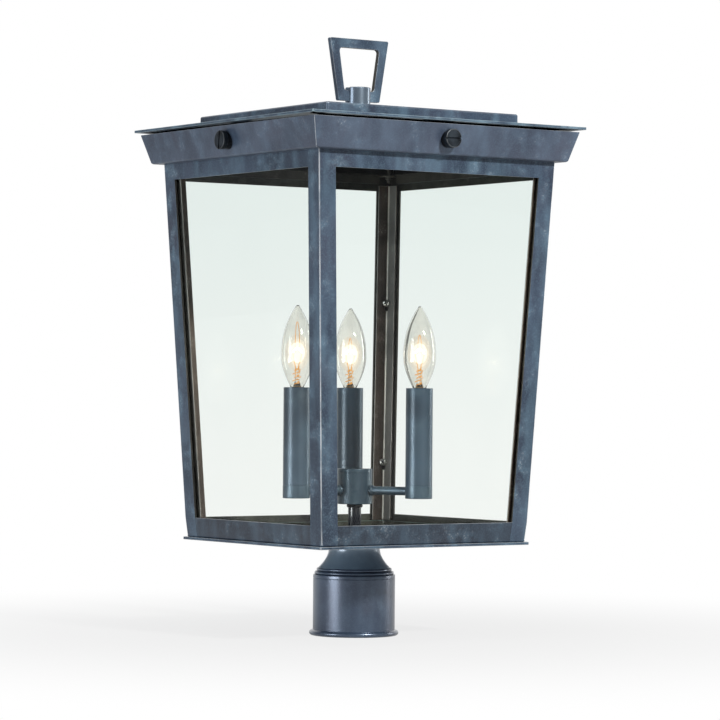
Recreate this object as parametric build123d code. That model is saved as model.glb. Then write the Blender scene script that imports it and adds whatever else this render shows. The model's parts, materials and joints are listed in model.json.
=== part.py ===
from build123d import *
from math import atan, cos, degrees, radians, sin, sqrt
import os

# Post top lantern: a square cage of sheet metal that tapers downward, four clear panes, three
# candle lamps on a hub, a lid with a loop finial, and a round fitter that slips over a post.
#
# Millimetres. The origin is the centre of the fitter's mouth, on the plane of its bottom lip.
# +Z is up. The four faces look along -Y (front), +X (right), +Y (back) and -X (left).
# A "half" is the distance from the centre line to a face, so a width is twice as much.

# ---------------------------------------------------------------- driving dimensions

# most round pieces are made with flat sides, which keeps the model light
ROUND_SIDES = 48              # the fitter and the finial's barrel
LAMP_SIDES = 16               # the hub, the three lamps and the thumb screws
SMALL_SIDES = 8               # fasteners, leads and their holes

# post and fitter
POST_R = 38.1                 # a 3 inch post
POST_FIT = 0.4                # radial play between the post and the fitter's bore
FITTER_WALL = 2.4
SOCKET_DEPTH = 58.0           # from the lip to the shoulder that stops on the post
SHOULDER_T = 2.6              # from that stop to the top of the fitter's cylinder
SHOULDER_CHAMFER = 0.9
LIP_ROLL_R = 2.6
LIP_OVERHANG = 3.6            # how far the rolled lip stands out of the cylinder
BEAD_R = 1.6
BEAD_STEP = 2.0               # each bead is this much smaller in radius than what is below it
NECK_HEIGHT = 32.0            # from the top of the cylinder to the bottom plate
NECK_R = 25.5
NECK_STRAIGHT = 6.6
NECK_DISC = 3.0               # thickness of the disc that closes the neck
NECK_FLARE = 1.86             # power of the neck's hollow curve
NECK_STEPS = 4                # bands that make up that curve
SET_SCREW_R = 3.0
SET_SCREW_LENGTH = 9.0
SET_SCREW_Z = 28.0
SET_SCREW_KEY = 3.0           # across the flats of the key socket
SET_SCREW_KEY_DEPTH = 3.2
SET_SCREW_ANGLES = (0.0, 90.0)

# bottom plate and base pan
PLATE_T = 2.8
PLATE_OVERHANG = 3.4          # past the foot of the cage
PLATE_CHAMFER = 0.8
PAN_T = 1.5
PAN_LIP_HEIGHT = 12.6
PAN_CORNER_R = 6.0
PAN_FIT = 0.1                 # between the lip and the line of the retainers

# cage
CAGE_TOP_HALF = 140.5
CAGE_FLARE = 17.7             # from the window sill to the top
CAGE_LEAN = 1.9               # of the band below the sill
CAGE_HEIGHT = 375.4
SILL_HEIGHT = 19.6
CAGE_WALL = 2.0
POST_LEG = 18.8
TOP_RAIL_WEB = 16.3
RAIL_LIP_T = 1.6
RAIL_LIP_HEIGHT = 9.1
RAIL_LIP_SHORT = 1.0          # the lip stops this far short of the rail's ends
RAIL_LIP_CORNER_R = 3.0
BASE_EDGE_R = 1.5

# glass and its retainers
GLASS_T = 3.0
GLASS_GAP = 1.0               # bedding gap between the cage sheet and the glass
GLASS_HEAD_GAP = 3.0          # room above the pane, inside the channel
GLASS_CUTBACK = 4.0           # each pane stops this far short of its neighbour
RETAINER_T = 1.2
RETAINER_LEG = 14.0
RETAINER_FIT = 0.2
RETAINER_TOP_GAP = 1.7        # below the lips of the top rails
RETAINER_FOOT_GAP = 1.0       # above the pan's lip
RETAINER_SCREW_HEIGHTS = (73.6, 240.6)   # above the cage's base
RETAINER_SCREW_R = 1.9
RETAINER_HEAD_R = 3.85
RETAINER_HEAD_H = 2.6
RETAINER_SLOT_PLAY = 0.3
RETAINER_SLOT_DROP = 6.2      # how far the slot runs on below the screw
LUG_REACH = 7.3
LUG_HEIGHT = 12.0
THREAD_FIT = 0.06             # radial play in a tapped hole

# fascia
FASCIA_T = 1.2
FASCIA_HEIGHT = 29.6
FASCIA_STEP = 9.1             # how far its foot stands out of the cage's top
FASCIA_FLARE = 8.3            # how much farther out its top stands
FASCIA_FLANGE_IN = 6.0        # its foot flange reaches this far inside the cage's top
FASCIA_BEND_R = 2.6

# corner gussets and the studs that carry the lid
GUSSET_T = 1.6
GUSSET_CHAMFER = 5.0
GUSSET_FIT = 0.1
STUD_R = 2.3
STUD_INSET = 9.5              # from the cage's top faces
STUD_TAIL = 7.8               # length below the top of the cage
STUD_COLLAR_R = 4.0
STUD_COLLAR_H = 2.5

# lid
VENT_GAP = 2.2                # between the roof plate and the fascia's top edge
ROOF_OVERHANG = 4.8           # past the fascia's top edge
ROOF_T = 2.5
TIER_SETBACK = 48.1           # from the roof plate's edge
TIER_HEIGHT = 13.4
TIER_T = 1.5
TIER_EDGE_R = 2.4
TAB_T = 2.0
TAB_WIDTH = 36.0
TAB_LEG = 18.0
TAB_FOOT_GAP = 5.2            # above the top of the cage
TAB_INSET = 1.5               # outer face inside the cage's top faces
TAB_BEND_R = 2.2

# thumb screws
THUMB_HEIGHT = 15.2           # axis above the fascia's foot
THUMB_STAND_OUT = 5.5         # face of the head past the fascia's top edge
THUMB_HEAD_R = 9.2
THUMB_HEAD_L = 5.3
THUMB_SHANK_R = 3.0
THUMB_SLOT_W = 1.7
THUMB_SLOT_DEPTH = 1.9
THUMB_CHAMFER = 0.9
THUMB_BOSS_R = 8.8
THUMB_SEAT = 0.1              # between the head and its boss
THUMB_HOLE_PLAY = 0.5
TIP_GAP = 0.2                 # from a screw's tip to the lid's tab, or to the line of the bore
THUMB_SLOT_ANGLES = (2.0, 40.0, 115.0, 84.0)   # front, right, back, left

# finial
BARREL_R = 12.7
BARREL_HEIGHT = 28.0
BARREL_CHAMFER = 0.6
LOOP_T = 5.2
LOOP_FIT = 0.1
LOOP_SEAT = 14.0              # floor of the barrel's slot above the tier
LOOP_HEIGHT = 62.2
LOOP_TOP_HALF = 35.4
LOOP_BASE_HALF = 24.8
LOOP_HEAD_BAR = 9.3
LOOP_FOOT_BAR = 10.4
LOOP_OPEN_TOP_HALF = 24.3
LOOP_OPEN_BASE_HALF = 17.8
LOOP_OUTER_R = 1.6
LOOP_INNER_R = 3.4
BOLT_R = 3.0
BOLT_HEAD_FLATS = 10.0
BOLT_HEAD_H = 4.0
BOLT_GRIP = 10.0              # length inside the barrel
BOLT_HOLE_DEPTH = 11.0
BOLT_HOLE_PLAY = 0.3

# stem and hub
NIPPLE_R = 5.0
NIPPLE_WALL = 1.8
NIPPLE_FIT = 0.1
NIPPLE_TAIL = 8.6             # below the bottom plate
NUT_WIDTH = 7.0               # flats of a nut beyond the nipple's diameter
NUT_H = 4.0
STEM_WALL = 1.4
STEM_LENGTH = 30.3
COLLAR_STEP = 1.65
COLLAR_H = 3.4
HUB_R = 17.4
HUB_BODY_H = 31.2
HUB_WALL = 1.5
HUB_FLOOR = 2.5
HUB_CAP_H = 4.0
HUB_CAP_CHAMFER = 0.7
HUB_SPIGOT_H = 3.0
SPIGOT_FIT = 0.1

# arms, candle cups, sleeves and sockets
CANDLE_ANGLES = (180.0, 60.0, -60.0)     # left, back and front candle
ARM_REACH = 70.0
ARM_RISE = 13.8               # axis above the hub's base
ARM_R = 4.25
ARM_WALL = 1.1
ARM_COLLAR_R = 5.5
ARM_COLLAR_L = 3.6
ARM_FIT = 0.08
ARM_INTO_HUB = 1.3            # past the inside of the hub's wall
ARM_INTO_CUP = 1.8
CUP_DROP = 7.2                # bottom of the cup below the arm's axis
CUP_STEP = 0.1                # how far the cup stands out of the sleeve
CUP_WALL = 2.2
CUP_FLOOR = 2.0
CUP_HEIGHT = 12.8
CUP_SPIGOT_H = 4.0
SLEEVE_WALL = 1.0
SLEEVE_HEIGHT = 96.5
SOCKET_WALL = 3.65
SOCKET_HEIGHT = 36.5
SOCKET_RECESS = 1.0           # top of the socket below the sleeve's rim
SOCKET_BORE_DEPTH = 22.5
SOCKET_MOUTH_DEPTH = 3.0
SOCKET_MOUTH_PLAY = 0.6
STRAP_T = 1.0
STRAP_W = 4.0
STRAP_FIT = 0.1
STRAP_PLAY = 0.45             # between the strap and the wall of the cup
STRAP_OVERLAP = 23.0          # how far the strap laps up the side of the socket
STRAP_FOOT = 9.0

# bulbs
BASE_R = 5.95
BASE_LENGTH = 21.9
BASE_FIT = 0.1
BASE_RIM_STEP = 0.35
BASE_RIM_H = 2.0
CONTACT_R = 2.4
CONTACT_H = 1.0
BULB_SEAT = 0.2               # the glass starts this far below the sleeve's rim
BULB_HEIGHT = 81.2
BULB_BELLY_R = 16.2
BULB_BELLY_HEIGHT = 31.5
BULB_TIP_R = 1.6
BULB_TAPER = 2.3              # power of the curve from the belly to the tip
BULB_WALL = 0.9
MOUNT_FLARE_R = 4.4
MOUNT_FLARE_H = 5.0
MOUNT_R = 2.4
MOUNT_HEIGHT = 17.0

# wiring held inside
LEAD_R = 1.5
LEAD_LIE = 0.3                # a lead lies this far off what carries it
LEAD_START = 9.0              # from the hub's axis
TRUNK_TAIL = 21.0             # below the bottom plate, inside the neck
TRUNK_RISE = 3.0              # above the upper nut
CONNECTOR_R = 3.5
CONNECTOR_TOP_R = 2.6
CONNECTOR_H = 14.0
CONNECTOR_X = 3.9

CUT = 1.0                     # a cutting tool runs this far past what it cuts

# ---------------------------------------------------------------- places worked out

FITTER_BORE_R = POST_R + POST_FIT
FITTER_R = FITTER_BORE_R + FITTER_WALL
SHOULDER_Z = SOCKET_DEPTH + SHOULDER_T
PLATE_Z = SHOULDER_Z + NECK_HEIGHT
BASE_Z = PLATE_Z + PLATE_T

SILL_Z = BASE_Z + SILL_HEIGHT
CAGE_TOP_Z = BASE_Z + CAGE_HEIGHT
SILL_HALF = CAGE_TOP_HALF - CAGE_FLARE
BASE_HALF = SILL_HALF - CAGE_LEAN
PLATE_HALF = BASE_HALF + PLATE_OVERHANG
TAPER = CAGE_FLARE / (CAGE_TOP_Z - SILL_Z)
LOW_TAPER = CAGE_LEAN / SILL_HEIGHT
PAN_TOP_Z = BASE_Z + PAN_LIP_HEIGHT
GUSSET_Z = CAGE_TOP_Z - GUSSET_T
STUD_HALF = CAGE_TOP_HALF - STUD_INSET

GLASS_FACE = CAGE_WALL + GLASS_GAP       # outer face of the glass, in from the cage's face
GLASS_BACK = GLASS_FACE + GLASS_T        # inner face of the glass
GLASS_FOOT_Z = BASE_Z + CAGE_WALL
GLASS_HEAD_Z = CAGE_TOP_Z - RAIL_LIP_T - GLASS_HEAD_GAP
RETAINER_FACE = GLASS_BACK + RETAINER_FIT
RAIL_CHANNEL = RETAINER_FACE + RAIL_LIP_T

FASCIA_TOP_Z = CAGE_TOP_Z + FASCIA_HEIGHT
FASCIA_FOOT_HALF = CAGE_TOP_HALF + FASCIA_STEP
FASCIA_TOP_HALF = FASCIA_FOOT_HALF + FASCIA_FLARE
FASCIA_FLANGE_HALF = CAGE_TOP_HALF - FASCIA_FLANGE_IN
FASCIA_SLOPE = FASCIA_FLARE / FASCIA_HEIGHT
THUMB_Z = CAGE_TOP_Z + THUMB_HEIGHT
THUMB_FACE_HALF = FASCIA_TOP_HALF + THUMB_STAND_OUT
THUMB_BACK_HALF = THUMB_FACE_HALF - THUMB_HEAD_L
THUMB_SEAT_HALF = THUMB_BACK_HALF - THUMB_SEAT

ROOF_Z = FASCIA_TOP_Z + VENT_GAP
ROOF_HALF = FASCIA_TOP_HALF + ROOF_OVERHANG
TIER_Z = ROOF_Z + ROOF_T
TIER_TOP_Z = TIER_Z + TIER_HEIGHT
TIER_HALF = ROOF_HALF - TIER_SETBACK
TAB_HALF = CAGE_TOP_HALF - TAB_INSET
LOOP_Z = TIER_TOP_Z + LOOP_SEAT

STEM_R = NIPPLE_R + NIPPLE_FIT + STEM_WALL
STEM_Z = BASE_Z + PAN_T
HUB_Z = STEM_Z + STEM_LENGTH + COLLAR_H
HUB_TOP_Z = HUB_Z + HUB_BODY_H
UPPER_NUT_Z = HUB_Z + HUB_FLOOR
LOWER_NUT_Z = PLATE_Z - NECK_DISC - NUT_H
TRUNK_TOP_Z = UPPER_NUT_Z + NUT_H + TRUNK_RISE

SOCKET_R = BASE_R + BASE_FIT + SOCKET_WALL
CUP_R = SOCKET_R + STRAP_FIT + STRAP_T + STRAP_PLAY + CUP_WALL
SLEEVE_R = CUP_R - CUP_STEP
BASE_RIM_R = BASE_R + BASE_RIM_STEP
ARM_Z = HUB_Z + ARM_RISE
CUP_Z = ARM_Z - CUP_DROP
CUP_FLOOR_Z = CUP_Z + CUP_FLOOR
SLEEVE_Z = CUP_Z + CUP_HEIGHT
SLEEVE_TOP_Z = SLEEVE_Z + SLEEVE_HEIGHT
SOCKET_TOP_Z = SLEEVE_TOP_Z - SOCKET_RECESS
SOCKET_Z = SOCKET_TOP_Z - SOCKET_HEIGHT
BULB_Z = SLEEVE_TOP_Z - BULB_SEAT

SIDES = ("front", "right", "back", "left")
CORNERS = ("front_right", "back_right", "back_left", "front_left")
CANDLES = ("left", "back", "front")

# the front face is drawn looking at it, and its folded strips are drawn from their ends
FRONT_VIEW = Plane(origin=(0, 0, 0), x_dir=(1, 0, 0), z_dir=(0, -1, 0))
END_VIEW = Plane(origin=(0, 0, 0), x_dir=(0, -1, 0), z_dir=(-1, 0, 0))

os.makedirs("parts", exist_ok=True)


# ---------------------------------------------------------------- small shared functions

def cage_half(z):
    """Half the width of the cage's upper taper at height z, also when carried on downward."""
    return SILL_HALF + (z - SILL_Z) * TAPER


def flat_face(outline):
    """A flat face with the given corners."""
    return make_face(Polyline(outline, close=True).edges())


def half_round(centre, radius, steps):
    """Points (radius, height) up a bead that bulges outward, from its foot to its top."""
    angles = [radians(180 * step / steps - 90) for step in range(steps + 1)]
    return [(centre[0] + radius * cos(angle), centre[1] + radius * sin(angle)) for angle in angles]


def turned(rings, sides):
    """A turned solid about Z with flat sides, from points (radius, height) up its outline."""
    turns = [radians(360 * side / sides) for side in range(sides)]
    loops = [[(radius * cos(turn), radius * sin(turn), height) for turn in turns] for radius, height in rings]
    faces = [flat_face(loops[0]), flat_face(loops[-1])]
    for low, high in zip(loops, loops[1:]):
        faces += [flat_face([low[side - 1], low[side], high[side], high[side - 1]]) for side in range(sides)]
    return Solid(Shell(faces))


def rod_to(plane, radius, near, far, sides=0):
    """A round rod along a plane's normal between two distances, or a prism with flat sides."""
    section = RegularPolygon(radius, sides) if sides else Circle(radius)
    return plane.offset(near) * extrude(section, far - near)


def disc(radius, low, high, sides=0):
    """A round rod on the Z axis, or a prism with flat sides."""
    return rod_to(Plane.XY, radius, low, high, sides)


def tube(radius, bore, low, high, sides):
    """A tube on the Z axis, with flat sides."""
    return disc(radius, low, high, sides) - disc(bore, low - CUT, high + CUT, sides)


def tapered_rod(plane, near_r, far_r, near, far, sides):
    """A rod along a plane's normal that narrows or widens from one radius to the other."""
    return plane * turned([(near_r, near), (far_r, far)], sides)


def square_plate(half, low, thickness):
    """A flat square plate with slightly cut corners."""
    plate = Plane.XY.offset(low) * extrude(Rectangle(2 * half, 2 * half), thickness)
    return chamfer(plate.edges().filter_by(Axis.Z), PLATE_CHAMFER)


def folded_strip(flat, length):
    """A strip along the front face from its end view, drawn as (distance out, height)."""
    return extrude(END_VIEW.offset(-length / 2) * flat, length)


def front_block(low, low_half, high, high_half):
    """A block that cuts the ends of a front strip on two slanting lines."""
    outline = [(-low_half, low), (low_half, low), (high_half, high), (-high_half, high)]
    return extrude(FRONT_VIEW * flat_face(outline), 2 * CAGE_TOP_HALF)


def corner_angle(z, height, corner, leg, wall, lean):
    """An angle in the front right corner whose outer corner leans outward as it rises."""
    outline = [(corner, -corner), (corner, leg - corner), (corner - wall, leg - corner),
               (corner - wall, wall - corner), (corner - leg, wall - corner), (corner - leg, -corner)]
    rise = Vector(lean * height, -lean * height, height)
    return extrude(Plane.XY.offset(z) * flat_face(outline), rise.length, dir=rise)


def radial_plane(angle, z):
    """A plane on the Z axis at height z whose normal points outward at this angle."""
    normal = (cos(radians(angle)), sin(radians(angle)), 0)
    return Plane(origin=(0, 0, z), x_dir=(0, 0, 1), z_dir=normal)


def front_plane(z):
    """A plane on the Z axis at height z whose normal points out of the front."""
    return Plane(origin=(0, 0, z), x_dir=(1, 0, 0), z_dir=(0, -1, 0))


def quarter(part, index):
    """The same piece turned on to one of the four sides or corners."""
    return Rot(0, 0, 90 * index) * part


def all_round(part):
    """Four copies, one on each side or corner."""
    return Compound(children=[quarter(part, index) for index in range(4)])


def on_candle(part, angle):
    """A piece modelled on the Z axis, moved to the candle at this angle."""
    return Pos(ARM_REACH * cos(radians(angle)), ARM_REACH * sin(radians(angle)), 0) * part


def three(function):
    """The same piece made for each of the three candles."""
    return Compound(children=[function(angle) for angle in CANDLE_ANGLES])


def nipple_hole(low, high):
    """A cutter for the hole that the threaded nipple passes through."""
    return disc(NIPPLE_R + NIPPLE_FIT, low - CUT, high + CUT, SMALL_SIDES)


def write(name, part):
    """Save one sub-part under its own name."""
    export_step(part, f"parts/{name}.step")


# ---------------------------------------------------------------- post fitter

def post_fitter():
    """Cast fitter: rolled lip, cylinder, two beads, and a neck that flares in to the plate."""
    roll_r = FITTER_R + LIP_OVERHANG - LIP_ROLL_R
    low_r = FITTER_R - SHOULDER_CHAMFER - BEAD_STEP
    high_r = low_r - BEAD_STEP
    low_z = SHOULDER_Z + BEAD_R
    high_z = low_z + 2 * BEAD_R
    foot_z = high_z + BEAD_R
    rise = PLATE_Z - NECK_STRAIGHT - foot_z
    outline = half_round((roll_r, LIP_ROLL_R), LIP_ROLL_R, 3)
    outline += [(FITTER_R, 2 * LIP_ROLL_R), (FITTER_R, SHOULDER_Z - SHOULDER_CHAMFER),
                (FITTER_R - SHOULDER_CHAMFER, SHOULDER_Z)]
    outline += half_round((low_r, low_z), BEAD_R, 2)
    outline += half_round((high_r, high_z), BEAD_R, 2)
    for step in range(1, NECK_STEPS + 1):
        share = step / NECK_STEPS
        outline.append((NECK_R + (high_r - NECK_R) * (1 - share) ** NECK_FLARE, foot_z + rise * share))
    outline.append((NECK_R, PLATE_Z))
    inner_neck = NECK_R - FITTER_WALL
    hollow = [(high_r - FITTER_WALL, SOCKET_DEPTH - CUT), (inner_neck, foot_z + rise / 2),
              (inner_neck, PLATE_Z - NECK_DISC)]
    body = turned(outline, ROUND_SIDES) - turned(hollow, ROUND_SIDES)
    body -= disc(FITTER_BORE_R, -CUT, SOCKET_DEPTH)
    body -= nipple_hole(PLATE_Z - NECK_DISC, PLATE_Z)
    for angle in SET_SCREW_ANGLES:
        body -= rod_to(radial_plane(angle, SET_SCREW_Z), SET_SCREW_R + THREAD_FIT,
                       FITTER_BORE_R - CUT, FITTER_R + CUT, SMALL_SIDES)
    return body


def set_screw(angle):
    """Headless screw with a key socket, backed off so that its tip is just out of the bore."""
    plane = radial_plane(angle, SET_SCREW_Z)
    end = FITTER_BORE_R + TIP_GAP + SET_SCREW_LENGTH
    body = rod_to(plane, SET_SCREW_R, end - SET_SCREW_LENGTH, end, SMALL_SIDES)
    return body - rod_to(plane, SET_SCREW_KEY / sqrt(3), end - SET_SCREW_KEY_DEPTH, end + CUT, 6)


# ---------------------------------------------------------------- bottom plate and base pan

def bottom_plate():
    """Thin square plate that overhangs the cage, with the hole for the threaded nipple."""
    return square_plate(PLATE_HALF, PLATE_Z, PLATE_T) - nipple_hole(PLATE_Z, BASE_Z)


def pan_shape(inset, low, height):
    """A block with rounded corners that leans outward as the glass does."""
    half = cage_half(low) - RETAINER_FACE - PAN_FIT - inset
    outline = RectangleRounded(2 * half, 2 * half, PAN_CORNER_R - inset)
    return Plane.XY.offset(low) * extrude(outline, height, taper=-degrees(atan(TAPER)))


def base_pan():
    """Pressed pan with an upturned lip that keeps the feet of the panes against the cage."""
    outside = pan_shape(0, BASE_Z, PAN_LIP_HEIGHT)
    inside = pan_shape(PAN_T, STEM_Z, PAN_LIP_HEIGHT)
    return outside - inside - nipple_hole(BASE_Z, STEM_Z)


# ---------------------------------------------------------------- cage

def corner_post():
    """Bent angle that runs the full height of the cage, with the lower band bent inward."""
    band = corner_angle(BASE_Z, SILL_HEIGHT, BASE_HALF, POST_LEG, CAGE_WALL, LOW_TAPER)
    upper = corner_angle(SILL_Z, CAGE_TOP_Z - SILL_Z, SILL_HALF, POST_LEG, CAGE_WALL, TAPER)
    foot = band.edges().group_by(Axis.Z)[0]
    outer = [foot.filter_by(Axis.X).sort_by(Axis.Y)[0], foot.filter_by(Axis.Y).sort_by(Axis.X)[-1]]
    return fillet(outer, BASE_EDGE_R) + upper


def top_rail():
    """Channel rail: the face, a flange on top and a turned-down lip behind the glass."""
    foot = CAGE_TOP_Z - TOP_RAIL_WEB
    flange = CAGE_TOP_Z - RAIL_LIP_T
    lip = CAGE_TOP_Z - RAIL_LIP_HEIGHT
    end = CAGE_TOP_HALF - POST_LEG
    foot_end = cage_half(foot) - POST_LEG
    angle = flat_face([(cage_half(foot), foot), (CAGE_TOP_HALF, CAGE_TOP_Z),
                       (CAGE_TOP_HALF - RAIL_CHANNEL, CAGE_TOP_Z), (CAGE_TOP_HALF - RAIL_CHANNEL, flange),
                       (cage_half(flange) - CAGE_WALL, flange), (cage_half(foot) - CAGE_WALL, foot)])
    rail = folded_strip(angle, 2 * CAGE_TOP_HALF) & front_block(foot, foot_end, CAGE_TOP_Z, end)
    inner = flat_face([(CAGE_TOP_HALF - RAIL_CHANNEL, CAGE_TOP_Z),
                       (CAGE_TOP_HALF - RAIL_CHANNEL + RAIL_LIP_T, CAGE_TOP_Z),
                       (cage_half(lip) - RAIL_CHANNEL + RAIL_LIP_T, lip),
                       (cage_half(lip) - RAIL_CHANNEL, lip)])
    turned_down = folded_strip(inner, 2 * (cage_half(lip) - POST_LEG - RAIL_LIP_SHORT))
    ends = turned_down.edges().filter_by(Axis.Y).group_by(Axis.Z)[0]
    return rail + fillet(ends, RAIL_LIP_CORNER_R)


def bottom_rail():
    """Folded lower rail: the leaning band, and the ledge on which the pane stands."""
    ledge_z = BASE_Z + CAGE_WALL
    ledge_half = cage_half(ledge_z) - GLASS_BACK
    angle = flat_face([(BASE_HALF, BASE_Z), (SILL_HALF, SILL_Z), (SILL_HALF - CAGE_WALL, SILL_Z),
                       (BASE_HALF + LOW_TAPER * CAGE_WALL - CAGE_WALL, ledge_z),
                       (ledge_half, ledge_z), (ledge_half, BASE_Z)])
    strip = folded_strip(angle, 2 * CAGE_TOP_HALF)
    strip &= front_block(BASE_Z, BASE_HALF - POST_LEG, SILL_Z, SILL_HALF - POST_LEG)
    foot = strip.edges().filter_by(Axis.X).group_by(Axis.Z)[0].sort_by(Axis.Y)[0]
    return fillet(foot, BASE_EDGE_R)


# ---------------------------------------------------------------- glass and retainers

def glass_pane():
    """Flat tapered pane that stands on the ledge with its head up inside the channel."""
    foot = cage_half(GLASS_FOOT_Z)
    head = cage_half(GLASS_HEAD_Z)
    section = flat_face([(foot - GLASS_FACE, GLASS_FOOT_Z), (head - GLASS_FACE, GLASS_HEAD_Z),
                         (head - GLASS_BACK, GLASS_HEAD_Z), (foot - GLASS_BACK, GLASS_FOOT_Z)])
    edge = GLASS_BACK + GLASS_CUTBACK
    return folded_strip(section, 2 * head) & front_block(GLASS_FOOT_Z, foot - edge,
                                                         GLASS_HEAD_Z, head - edge)


def corner_plane(z):
    """A plane on the Z axis whose normal points out through the front right corner."""
    return radial_plane(-45, z)


def crease(z):
    """Distance from the axis to the inside of the retainer's fold."""
    return sqrt(2) * (cage_half(z) - RETAINER_FACE - RETAINER_T)


def glass_retainer():
    """Folded strip that holds two panes in one corner, with a slot for each screw."""
    low = PAN_TOP_Z + RETAINER_FOOT_GAP
    high = CAGE_TOP_Z - RAIL_LIP_HEIGHT - RETAINER_TOP_GAP
    strip = corner_angle(low, high - low, cage_half(low) - RETAINER_FACE, RETAINER_LEG, RETAINER_T, TAPER)
    slot_r = RETAINER_SCREW_R + RETAINER_SLOT_PLAY
    for height in RETAINER_SCREW_HEIGHTS:
        z = BASE_Z + height
        near = crease(z) - RETAINER_LEG / 2
        far = crease(z) + RETAINER_LEG / 2
        strip -= rod_to(corner_plane(z), slot_r, near, far, SMALL_SIDES)
        strip -= rod_to(corner_plane(z - RETAINER_SLOT_DROP), slot_r, near, far, SMALL_SIDES)
        middle = corner_plane(z - RETAINER_SLOT_DROP / 2).offset(near)
        strip -= middle * extrude(Rectangle(RETAINER_SLOT_DROP, 2 * slot_r), far - near)
    return strip


def retainer_lug(z):
    """Small brazed block in the corner of the post, tapped for the retainer screw."""
    low = z - LUG_HEIGHT / 2
    block = corner_angle(low, LUG_HEIGHT, cage_half(low) - CAGE_WALL, LUG_REACH, GLASS_BACK - CAGE_WALL,
                         TAPER)
    return block - rod_to(corner_plane(z), RETAINER_SCREW_R + THREAD_FIT,
                          crease(z) - LUG_REACH, crease(z) + 2 * LUG_REACH, SMALL_SIDES)


def retainer_screw(z):
    """Pan-head screw on the diagonal, its head in the fold of the strip."""
    seat = crease(z) - RETAINER_HEAD_R - RETAINER_SLOT_PLAY
    tip = sqrt(2) * (cage_half(z) - CAGE_WALL) - RETAINER_SCREW_R - RETAINER_SLOT_PLAY
    plane = corner_plane(z)
    head = rod_to(plane, RETAINER_HEAD_R, seat - RETAINER_HEAD_H, seat, SMALL_SIDES)
    return head + rod_to(plane, RETAINER_SCREW_R, seat, tip, SMALL_SIDES)


def at_screw_heights(function):
    """One piece in each corner at each height of the retainer screws."""
    return Compound(children=[quarter(function(BASE_Z + height), index)
                              for height in RETAINER_SCREW_HEIGHTS for index in range(4)])


# ---------------------------------------------------------------- gussets and lid studs

def corner_gusset():
    """Flat plate in the corner at the top of the cage, drilled for the lid's stud."""
    high = cage_half(GUSSET_Z) - CAGE_WALL - GUSSET_FIT
    low = CAGE_TOP_HALF - POST_LEG + GUSSET_FIT
    outline = [(high, -high), (high, -low), (low + GUSSET_CHAMFER, -low),
               (low, -low - GUSSET_CHAMFER), (low, -high)]
    plate = extrude(Plane.XY.offset(GUSSET_Z) * flat_face(outline), GUSSET_T)
    hole = disc(STUD_R + GUSSET_FIT, GUSSET_Z - CUT, CAGE_TOP_Z + CUT, SMALL_SIDES)
    return plate - Pos(STUD_HALF, -STUD_HALF, 0) * hole


def lid_stud():
    """Stud riveted through the gusset; the roof plate stands on the four studs."""
    stud = disc(STUD_R, CAGE_TOP_Z - STUD_TAIL, ROOF_Z, SMALL_SIDES)
    collar = disc(STUD_COLLAR_R, GUSSET_Z - STUD_COLLAR_H, GUSSET_Z, SMALL_SIDES)
    return Pos(STUD_HALF, -STUD_HALF, 0) * (stud + collar)


# ---------------------------------------------------------------- fascia and thumb screws

def fascia():
    """One side of the sloping band, folded inward at its foot and mitred at both ends."""
    slant = FASCIA_T * sqrt(1 + FASCIA_SLOPE ** 2)
    foot = CAGE_TOP_Z
    inner_foot = FASCIA_FOOT_HALF + FASCIA_T * FASCIA_SLOPE - slant
    flat = flat_face([(FASCIA_FLANGE_HALF, foot), (FASCIA_FOOT_HALF, foot),
                      (FASCIA_TOP_HALF, FASCIA_TOP_Z), (FASCIA_TOP_HALF - slant, FASCIA_TOP_Z),
                      (inner_foot, foot + FASCIA_T), (FASCIA_FLANGE_HALF, foot + FASCIA_T)])
    flat = fillet(flat.vertices().sort_by_distance((FASCIA_FOOT_HALF, foot))[0], FASCIA_BEND_R)
    flat = fillet(flat.vertices().sort_by_distance((inner_foot, foot + FASCIA_T))[0],
                  FASCIA_BEND_R - FASCIA_T)
    reach = 2 * FASCIA_TOP_HALF
    mitred = extrude(Plane.XY.offset(foot - CUT) * flat_face([(0, 0), (-reach, -reach), (reach, -reach)]),
                     FASCIA_HEIGHT + 2 * CUT)
    hole = rod_to(front_plane(THUMB_Z), THUMB_SHANK_R + THUMB_HOLE_PLAY, FASCIA_FLANGE_HALF,
                  FASCIA_TOP_HALF, SMALL_SIDES)
    return (folded_strip(flat, reach) & mitred) - hole


def thumb_boss():
    """Tapped boss brazed on the fascia; its back is cut to the fascia's slope."""
    boss = rod_to(front_plane(THUMB_Z), THUMB_BOSS_R, FASCIA_FLANGE_HALF, THUMB_SEAT_HALF, LAMP_SIDES)
    behind = flat_face([(0, CAGE_TOP_Z), (FASCIA_FOOT_HALF, CAGE_TOP_Z), (FASCIA_TOP_HALF, FASCIA_TOP_Z),
                        (0, FASCIA_TOP_Z)])
    boss -= folded_strip(behind, 3 * THUMB_BOSS_R)
    return boss - rod_to(front_plane(THUMB_Z), THUMB_SHANK_R + THREAD_FIT, FASCIA_FLANGE_HALF,
                         THUMB_SEAT_HALF + CUT, SMALL_SIDES)


def thumb_screw(slot_angle):
    """Slotted thumb screw whose tip presses on the lid's tab."""
    plane = front_plane(THUMB_Z)
    rim = THUMB_FACE_HALF - THUMB_CHAMFER
    head = rod_to(plane, THUMB_HEAD_R, THUMB_BACK_HALF, rim, LAMP_SIDES)
    head += tapered_rod(plane, THUMB_HEAD_R, THUMB_HEAD_R - THUMB_CHAMFER, rim, THUMB_FACE_HALF, LAMP_SIDES)
    shank = rod_to(plane, THUMB_SHANK_R, TAB_HALF + TIP_GAP, THUMB_BACK_HALF, SMALL_SIDES)
    cutter = Rot(0, 0, slot_angle) * Rectangle(3 * THUMB_HEAD_R, THUMB_SLOT_W)
    slot = plane.offset(THUMB_FACE_HALF - THUMB_SLOT_DEPTH) * extrude(cutter, THUMB_SLOT_DEPTH + CUT)
    return head + shank - slot


# ---------------------------------------------------------------- lid

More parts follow.
